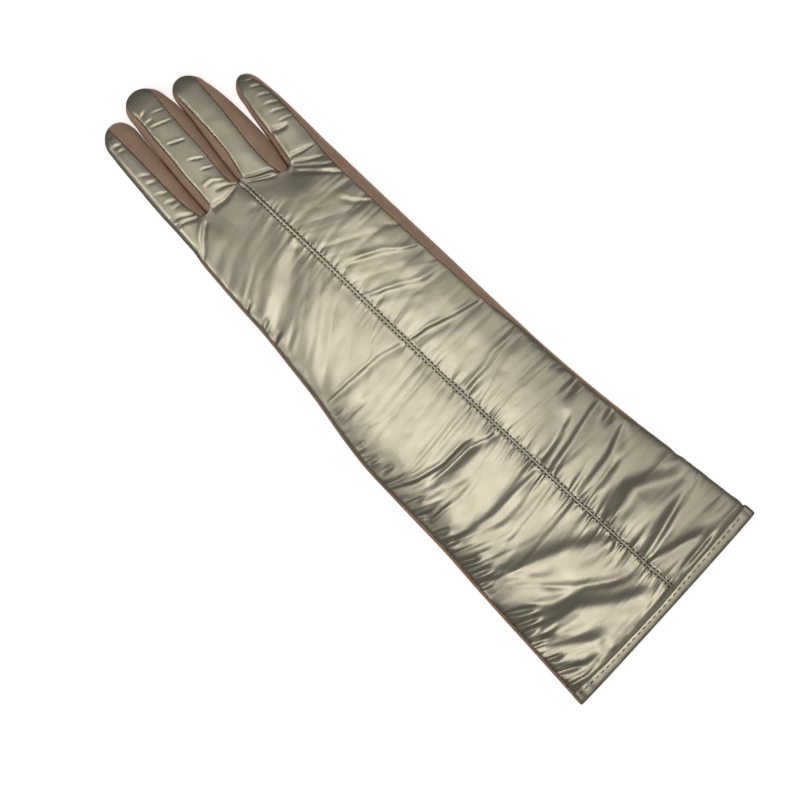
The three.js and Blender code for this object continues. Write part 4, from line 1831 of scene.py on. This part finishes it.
@dataclass
class Hem:
    """The folded band at the cuff, on one face of the glove.

    The seams' angles are read at y = seams_at, and no point is lower than lowest.
    """

    form: Form
    side: Side
    name: str
    columns: int = 151
    seams_at: float = 4.0
    lowest: float = 0.02

    def surface(self, share: Array, rise: Array, out: Array) -> Array:
        """Points of the band.

        Args:
            share: 0 at the left seam and 1 at the right one.
            rise: 0 at the band's edge and 1 at its seam.
            out: millimetres out of the cloth.

        Returns:
            Points in the layout of share.
        """
        body = self.form.body
        place = np.full_like(share, self.seams_at)
        low, high = self.form.left_seam(place), self.form.right_seam(place)
        if self.side is Side.PALM:
            high = 2.0 * math.pi + high
        angle = low + (high - low) * share
        x = body.point(angle, place)[..., 0]
        bottom, top = hem_edge_at(x), hem_seam_at(x)
        points = body.point(angle, bottom + (top - bottom) * rise)
        normal = grid_normals(body.point(angle, place + np.indices(share.shape)[0]))
        outwards = -1.0 if self.side is Side.PALM else 1.0
        return points + outwards * normal * out[..., None]

    def build(self) -> bpy.types.Object:
        """Make the closed band: the section's loop all along, slightly waved outside, and its two ends.

        Returns:
            The finished piece.
        """
        rise, out = (HEM_SECTION[:, [i]] * np.ones((1, self.columns)) for i in range(2))
        share = np.linspace(0.0, 1.0, self.columns)[None, :] * np.ones_like(rise)
        wave = 0.12 * np.sin(share * 95.0) + 0.1 * np.sin(share * 41.0 + 1.0)
        points = self.surface(share, rise, out + wave * (out > -0.3))
        points[..., 2] = np.maximum(points[..., 2], self.lowest)
        total = points.shape[0] * self.columns
        quads = grid_faces(points.shape[0] + 1, self.columns) % total
        left_end = list(range(0, total, self.columns))
        right_end = list(range(self.columns - 1, total, self.columns))
        faces = [*quads.tolist(), left_end, right_end[::-1]]
        if self.side is Side.BACK:
            faces = [face[::-1] for face in faces]
        return make_object(self.name, self.form.to_frame(points), faces)


@dataclass(frozen=True)
class StitchRow:
    """A line of stitches in plan: a dash starts at every pitch, and radius is the thread's."""

    line: Array
    pitch: float
    dash: float
    radius: float

    def places(self) -> Array:
        """Three places of each dash: start, middle and end.

        Returns:
            An array of dashes, their three places and x and y.
        """
        step = np.hypot(*np.diff(self.line, axis=0).T)
        along = np.concatenate([[0.0], np.cumsum(step)])
        starts = np.arange(0.0, along[-1] - self.dash, self.pitch)
        at = starts[:, None] + np.array([0.0, 0.5, 1.0])[None, :] * self.dash
        return np.stack([np.interp(at, along, self.line[:, axis]) for axis in range(2)], axis=-1)


@dataclass
class Stitches:
    """All visible thread: short dashes sunk into the cloths."""

    form: Form
    cloths: list[bpy.types.Object]
    rings: int = 7
    around: int = 8
    drop_from: float = 0.1

    def rows(self) -> list[StitchRow]:
        """The double row along the middle, the hem's row, the finger seams' rows and the left seam's.

        Returns:
            The rows.
        """
        y = np.arange(9.0, 377.0, 1.0)
        rows = [
            StitchRow(np.stack([centre_at(y) + side * CENTRE_HALF_GAP, y], axis=1), 2.9, 1.9, 0.38)
            for side in (-1.0, 1.0)
        ]
        x = np.arange(-77.0, 77.0, 1.0)
        bottom, top = hem_edge_at(x), hem_seam_at(x)
        rows.append(StitchRow(np.stack([x, bottom + (top - bottom) * 0.62], axis=1), 4.7, 3.1, 0.34))
        for seam, low, high, beside in SEAM_STITCHES:
            y = np.arange(low, high, 1.0)
            rows.append(StitchRow(np.stack([self.form.seams[seam](y) - beside, y], axis=1), 2.6, 1.5, 0.2))
        y = np.arange(12.0, 150.0, 1.0)
        left = self.form.body.left(y) + LEFT_MARGIN + 0.8
        rows.append(StitchRow(np.stack([left, y], axis=1), 2.9, 1.7, 0.26))
        return rows

    def crotch_places(self) -> Array:
        """Five short dashes side by side that bar each of the three crotches.

        Returns:
            An array of dashes, their three places and x and y.
        """
        dashes = []
        for x, y, slope in CROTCH_STITCHES:
            for i in range(-2, 3):
                at = x + i * 1.5
                y_at = y + abs(i) * 0.55 + (at - x) * slope
                dashes.append([[at, y_at - 0.9], [at, y_at], [at, y_at + 0.9]])
        return np.array(dashes)

    def dropped(self, places: Array, trees: list[BVHTree]) -> Array:
        """Lay dashes on the cloth below them.

        Args:
            places: dashes, their three places and x and y.
            trees: what the thread can lie on.

        Returns:
            Three points in millimetres for each dash that has cloth all under it.
        """
        flat = self.form.to_frame(np.concatenate([places, np.zeros(places.shape[:2] + (1,))], axis=-1))
        down = Vector((0.0, 0.0, -1.0))
        heights = []
        for x, y, _ in flat.tolist():
            hits = [tree.ray_cast(Vector((x, y, self.drop_from)), down)[0] for tree in trees]
            heights.append(max([hit.z for hit in hits if hit is not None], default=float("nan")))
        flat[:, 2] = heights
        ends = flat.reshape(-1, 3, 3)
        return ends[~np.isnan(ends).any(axis=(1, 2))] / MM

    def tubes(self, ends: Array, radius: float) -> Array:
        """Threads along the dashes, with round ends.

        A thread is a tube of radius r * sqrt(1 - place^4) along a parabola through its three
        points, with place from -1 to 1. Its middle is a tenth of r higher, and all of it 0.15 r.

        Args:
            ends: three points of each dash, in millimetres.
            radius: the thread's radius r.

        Returns:
            Points by dash, ring and place around the ring.
        """
        ends[:, 1, 2] += 0.1 * radius
        first, middle, last = ends[:, 0][:, None], ends[:, 1][:, None], ends[:, 2][:, None]
        place = np.linspace(-1.0, 1.0, self.rings)
        share = ((place + 1.0) / 2.0)[None, :, None]
        spine = first * (1 - share) * (1 - 2 * share) + middle * 4 * share * (1 - share)
        spine = spine + last * share * (2 * share - 1)
        spine[..., 2] += 0.15 * radius
        way = ends[:, 2] - ends[:, 0]
        way /= np.linalg.norm(way, axis=1, keepdims=True)
        side = np.cross(way, np.array([0.0, 0.0, 1.0]))
        side /= np.linalg.norm(side, axis=1, keepdims=True)
        above = np.cross(side, way)
        turn = (np.arange(self.around) / self.around * 2.0 * math.pi)[None, None, :, None]
        ring = side[:, None, None] * np.cos(turn) + above[:, None, None] * np.sin(turn)
        shape = np.maximum(1.0 - place ** 4, 0.0) ** 0.5
        return spine[:, :, None] + ring * (radius * shape)[None, :, None, None]

    def build(self) -> bpy.types.Object:
        """Drop every dash onto the cloths and make it a thread.

        Returns:
            The finished piece.
        """
        depsgraph = bpy.context.evaluated_depsgraph_get()
        trees = [BVHTree.FromObject(cloth, depsgraph) for cloth in self.cloths]
        dashes = [(row.places(), row.radius) for row in self.rows()]
        dashes.append((self.crotch_places(), 0.32))
        base = grid_faces(self.rings, self.around, wrap=True)[:, ::-1]
        points, faces, total = [], [], 0
        for places, radius in dashes:
            grid = self.tubes(self.dropped(places, trees), radius)
            number = np.arange(len(grid))[:, None, None] * self.rings * self.around
            faces.append((base[None] + number + total).reshape(-1, 4))
            points.append(grid.reshape(-1, 3) * MM)
            total += len(points[-1])
        piece = make_object("stitches", np.concatenate(points), np.concatenate(faces))
        merge_close(piece)
        return piece


@dataclass(frozen=True)
class SoftBox:
    """One rectangular soft box: place, size and target in metres, watts, and spread in degrees."""

    name: str
    place: tuple[float, float, float]
    size: tuple[float, float]
    power: float
    target: tuple[float, float, float]
    spread_angle: float = 180.0

    def build(self) -> None:
        """Add the light, aimed at its target."""
        lamp = bpy.data.lights.new(self.name, "AREA")
        lamp.shape = "RECTANGLE"
        lamp.size, lamp.size_y = self.size
        lamp.energy = self.power
        lamp.spread = math.radians(self.spread_angle)
        box = bpy.data.objects.new(self.name, lamp)
        bpy.context.scene.collection.objects.link(box)
        turn = (Vector(self.place) - Vector(self.target)).to_track_quat("Z", "Y")
        box.matrix_world = Matrix.Translation(self.place) @ turn.to_matrix().to_4x4()


# The key hangs over the cuff's left, and three weak boxes lighten the right and the fingers
SOFT_BOXES = (
    SoftBox("key", (-0.22, -0.127, 1.3), (0.90, 0.62), 5.3, (-0.22, -0.127, 0.0)),
    SoftBox("fill", (0.95, -0.15, 0.95), (0.8, 0.8), 1.3, (0.0, 0.0, 0.0)),
    SoftBox("cuff side", (0.60, -0.40, 1.2), (0.5, 0.5), 0.85, (0.05, -0.15, 0.0)),
    SoftBox("hand side", (-0.70, 0.24, 0.5), (0.25, 0.25), 0.08, (-0.03, 0.21, 0.0), 40.0),
)


@dataclass(frozen=True)
class Studio:
    """Camera, lights and floor.

    The camera looks straight down on centre, in glove millimetres, with up as the picture's
    upward direction in plan. The rest is in metres: the camera's distance from the middle of
    the glove's height, the width of its frame there and the floor's half width.
    """

    centre: tuple[float, float] = (-19.3, 211.7)
    up: tuple[float, float] = (-0.730, -0.683)
    distance: float = 1.9
    middle_height: float = 0.012
    frame_width: float = 0.5
    sensor_width: float = 36.0
    floor_half: float = 3.0
    floor_gap: float = 0.0002
    sky: str = "f4f6f8"
    sky_strength: float = 0.105

    def build(self, form: Form) -> None:
        """Place the camera, the lights, the dim white surroundings and the floor.

        Args:
            form: the glove's form, for its place in the frame.
        """
        self.camera(form)
        for box in SOFT_BOXES:
            box.build()
        scene = bpy.context.scene
        scene.world = bpy.data.worlds.new("studio")
        scene.world.use_nodes = True
        background = scene.world.node_tree.nodes["Background"]
        background.inputs["Color"].default_value = linear_colour(self.sky)
        background.inputs["Strength"].default_value = self.sky_strength
        scene.view_settings.view_transform = "Standard"
        self.floor()

    def camera(self, form: Form) -> None:
        """Add the camera and make it the scene's.

        Args:
            form: the glove's form, for its place in the frame.
        """
        camera = bpy.data.cameras.new("camera")
        camera.sensor_width = self.sensor_width
        camera.lens = self.sensor_width * self.distance / self.frame_width
        eye = bpy.data.objects.new("camera", camera)
        bpy.context.scene.collection.objects.link(eye)
        x, y, _ = form.to_frame(np.array([[*self.centre, 0.0]]))[0]
        roll = math.atan2(self.up[0], -self.up[1])
        place = Matrix.Translation((x, y, self.distance + self.middle_height))
        eye.matrix_world = place @ Matrix.Rotation(roll, 4, "Z")
        bpy.context.scene.camera = eye

    def floor(self) -> None:
        """Add the plain white floor. It is hidden from reflections, so the metal keeps its dark tones."""
        half, low = self.floor_half, -self.floor_gap
        points = np.array([[-half, -half, low], [half, -half, low], [half, half, low], [-half, half, low]])
        floor = make_object("floor", points, [[0, 1, 2, 3]], False)
        floor.data.materials.append(FloorPaper().material())
        floor.visible_glossy = False
        floor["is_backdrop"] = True


def add_node(tree: Any, kind: str, settings: dict | None = None, inputs: dict | None = None) -> Any:
    """Add a node with its settings, and its inputs as values or as links from other sockets.

    Args:
        tree: the node tree.
        kind: the node's type.
        settings: attributes of the node.
        inputs: input name or number to a value or an output socket.

    Returns:
        The new node.
    """
    node = tree.nodes.new(kind)
    for name, value in (settings or {}).items():
        setattr(node, name, value)
    for key, value in (inputs or {}).items():
        if isinstance(value, bpy.types.NodeSocket):
            tree.links.new(value, node.inputs[key])
        else:
            node.inputs[key].default_value = value
    return node


def start_material(name: str) -> tuple[Any, Any, Any]:
    """Start a material with an empty tree, its shader and its output linked.

    Args:
        name: the finish's name.

    Returns:
        The material, its node tree and its principled shader.
    """
    material = bpy.data.materials.new(name)
    material.use_nodes = True
    tree = material.node_tree
    tree.nodes.clear()
    shader = add_node(tree, "ShaderNodeBsdfPrincipled")
    add_node(tree, "ShaderNodeOutputMaterial", inputs={"Surface": shader.outputs["BSDF"]})
    return material, tree, shader


# Numbers of the mix node's two colours and of the colour that it gives
MIX_FIRST, MIX_SECOND, MIX_RESULT = 6, 7, 2


@dataclass(frozen=True)
class FloorPaper:
    """Plain white uncoated paper under the glove, about 0.9 rough, IOR near 1.5: it looks matt."""

    colour: str = "f6f6f6"
    glow: float = 0.72

    def material(self) -> bpy.types.Material:
        """Matt paper that glows a little, as the lights alone leave it grey.

        Returns:
            The material.
        """
        material, _, shader = start_material("white_paper_floor")
        shader.inputs["Base Color"].default_value = linear_colour(self.colour)
        shader.inputs["Roughness"].default_value = 0.9
        shader.inputs["Emission Color"].default_value = linear_colour(self.colour)
        shader.inputs["Emission Strength"].default_value = self.glow
        return material


@dataclass(frozen=True)
class MetallicCloth:
    """Foil-coated cloth: a thin aluminium foil, tinted champagne, laminated to a woven ground.

    It shines softly in broad streaks and is dark where nothing bright is mirrored. Such foil is
    0.3 to 0.5 rough, and as a metal it keeps the default IOR. A tenth of it is open ground.
    """

    light: str = "cdc5b0"
    dark: str = "b4ab95"
    metallic: float = 0.9
    mottle_mm: float = 16.667
    crinkle_mm: float = 3.846
    crinkle_depth_mm: float = 0.6

    def material(self) -> bpy.types.Material:
        """A metal coat with soft mottling, in colour and roughness, and a fine crinkle.

        Returns:
            The material.
        """
        material, tree, shader = start_material("champagne_metallic_cloth")
        place = add_node(tree, "ShaderNodeTexCoord").outputs["Object"]
        mottle = add_node(tree, "ShaderNodeTexNoise", inputs={
            "Vector": place, "Scale": 1.0 / (self.mottle_mm * MM), "Detail": 3.0, "Roughness": 0.6,
        })
        colour = add_node(tree, "ShaderNodeMix", {"data_type": "RGBA"}, {
            0: mottle.outputs["Fac"],
            MIX_FIRST: linear_colour(self.light),
            MIX_SECOND: linear_colour(self.dark),
        })
        tree.links.new(colour.outputs[MIX_RESULT], shader.inputs["Base Color"])
        shader.inputs["Metallic"].default_value = self.metallic
        rough = add_node(tree, "ShaderNodeMapRange", inputs={
            "Value": mottle.outputs["Fac"], "To Min": 0.38, "To Max": 0.46,
        })
        tree.links.new(rough.outputs["Result"], shader.inputs["Roughness"])
        crinkle = add_node(tree, "ShaderNodeTexNoise", inputs={
            "Vector": place, "Scale": 1.0 / (self.crinkle_mm * MM), "Detail": 4.0, "Roughness": 0.55,
        })
        relief = add_node(tree, "ShaderNodeBump", inputs={
            "Height": crinkle.outputs["Fac"], "Strength": 0.10, "Distance": self.crinkle_depth_mm * MM,
        })
        tree.links.new(relief.outputs["Normal"], shader.inputs["Normal"])
        return material


@dataclass(frozen=True)
class Suede:
    """Knitted polyester suede cloth with a brushed nap, about 0.95 rough, IOR near 1.5.

    It looks dull all over, a little lighter where the nap is seen from the side.
    """

    light: str = "b99a83"
    dark: str = "a5856e"
    sheen: str = "c8b0a0"
    nap_mm: float = 0.6667
    nap_depth_mm: float = 0.3
    brushed_mm: float = 11.111

    def material(self) -> bpy.types.Material:
        """Fine nap over broad brushed patches, with a soft sheen at grazing angles.

        Returns:
            The material.
        """
        material, tree, shader = start_material("taupe_suede")
        place = add_node(tree, "ShaderNodeTexCoord").outputs["Object"]
        nap = add_node(tree, "ShaderNodeTexNoise", inputs={
            "Vector": place, "Scale": 1.0 / (self.nap_mm * MM), "Detail": 3.0, "Roughness": 0.7,
        })
        brushed = add_node(tree, "ShaderNodeTexNoise", inputs={
            "Vector": place, "Scale": 1.0 / (self.brushed_mm * MM), "Detail": 2.0,
        })
        both = add_node(tree, "ShaderNodeMath", {"operation": "ADD"}, {
            0: nap.outputs["Fac"], 1: brushed.outputs["Fac"],
        })
        share = add_node(tree, "ShaderNodeMapRange", inputs={
            "Value": both.outputs["Value"], "From Min": 0.6, "From Max": 1.4,
        })
        colour = add_node(tree, "ShaderNodeMix", {"data_type": "RGBA"}, {
            0: share.outputs["Result"],
            MIX_FIRST: linear_colour(self.dark),
            MIX_SECOND: linear_colour(self.light),
        })
        tree.links.new(colour.outputs[MIX_RESULT], shader.inputs["Base Color"])
        shader.inputs["Roughness"].default_value = 0.95
        shader.inputs["Sheen Weight"].default_value = 0.25
        shader.inputs["Sheen Roughness"].default_value = 0.5
        shader.inputs["Sheen Tint"].default_value = linear_colour(self.sheen)
        relief = add_node(tree, "ShaderNodeBump", inputs={
            "Height": nap.outputs["Fac"], "Strength": 0.35, "Distance": self.nap_depth_mm * MM,
        })
        tree.links.new(relief.outputs["Normal"], shader.inputs["Normal"])
        return material


@dataclass(frozen=True)
class Thread:
    """Spun polyester thread, about 0.7 rough, IOR near 1.5: dark brown and dull."""

    colour: str = "453a30"

    def material(self) -> bpy.types.Material:
        """Plain dull thread, too thin for a pattern.

        Returns:
            The material.
        """
        material, _, shader = start_material("brown_thread")
        shader.inputs["Base Color"].default_value = linear_colour(self.colour)
        shader.inputs["Roughness"].default_value = 0.7
        return material


@dataclass
class Glove:
    """The whole glove: builds each piece, dresses it and tells the frame about it."""

    form: Form

    def dress(self, piece: bpy.types.Object, finish: bpy.types.Material, slot: str, *nodes: str) -> None:
        """Give a piece its finish and its body, and hide the CAD nodes that it stands for.

        Args:
            piece: the finished mesh.
            finish: its material.
            slot: not used.
            nodes: names of the CAD nodes.
        """
        piece.data.materials.clear()
        piece.data.materials.append(finish)
        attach(piece, "root")
        if nodes:
            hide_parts(*nodes)
        areas = np.zeros(len(piece.data.polygons))
        piece.data.polygons.foreach_get("area", areas)
        log.info("%s: %d faces, %.5f square metres a side", piece.name, len(areas), areas.sum() / 2.0)

    def build(self) -> None:
        """Make every piece."""
        form = self.form
        metal, suede = MetallicCloth().material(), Suede().material()
        back = BackPanel(form, Side.BACK, "metallic_back").build()
        self.dress(back, metal, "metallic_cloth", "back_panel")
        palm = PalmPanel(form, Side.PALM, "suede_palm").build()
        self.dress(palm, suede, "suede", "palm_panel")
        # Fingers, where their walls start, the crotch's dip and how far the walls touch
        for before, after, start_before, start_after, dip, touch_to in (
            (Finger.INDEX, Finger.MIDDLE, 380.6, 381.0, 2.6, 450.0),
            (Finger.MIDDLE, Finger.RING, 381.0, 379.0, 3.0, 442.0),
            (Finger.RING, Finger.LITTLE, 363.0, 363.6, 2.9, 394.0),
        ):
            strip = Fourchette(form, before, after, start_before, start_after, dip, touch_to).build()
            self.dress(strip, suede, "suede", f"fourchette_{before.value}_{after.value}")
        thumb = Thumb(form).build()
        self.dress(thumb, suede, "suede", "thumb")
        hem_back = Hem(form, Side.BACK, "hem_back").build()
        self.dress(hem_back, metal, "metallic_cloth", "cuff_hem_back")
        hem_palm = Hem(form, Side.PALM, "hem_palm").build()
        self.dress(hem_palm, suede, "suede", "cuff_hem_palm")
        stitches = Stitches(form, [back, hem_back]).build()
        self.dress(stitches, Thread().material(), "thread")


def main() -> None:
    """Build and dress every piece."""
    logging.basicConfig(level=logging.INFO, format="%(message)s")
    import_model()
    cad_low, cad_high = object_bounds()
    form = Form()
    form.shift = (HEM_RIGHT_X - cad_high.x / MM, TIP_Y - cad_high.y / MM)
    log.info("glove to frame: %.2f %.2f mm", *form.shift)
    Studio().build(form)
    Glove(form).build()


if __name__ == "__main__":
    main()
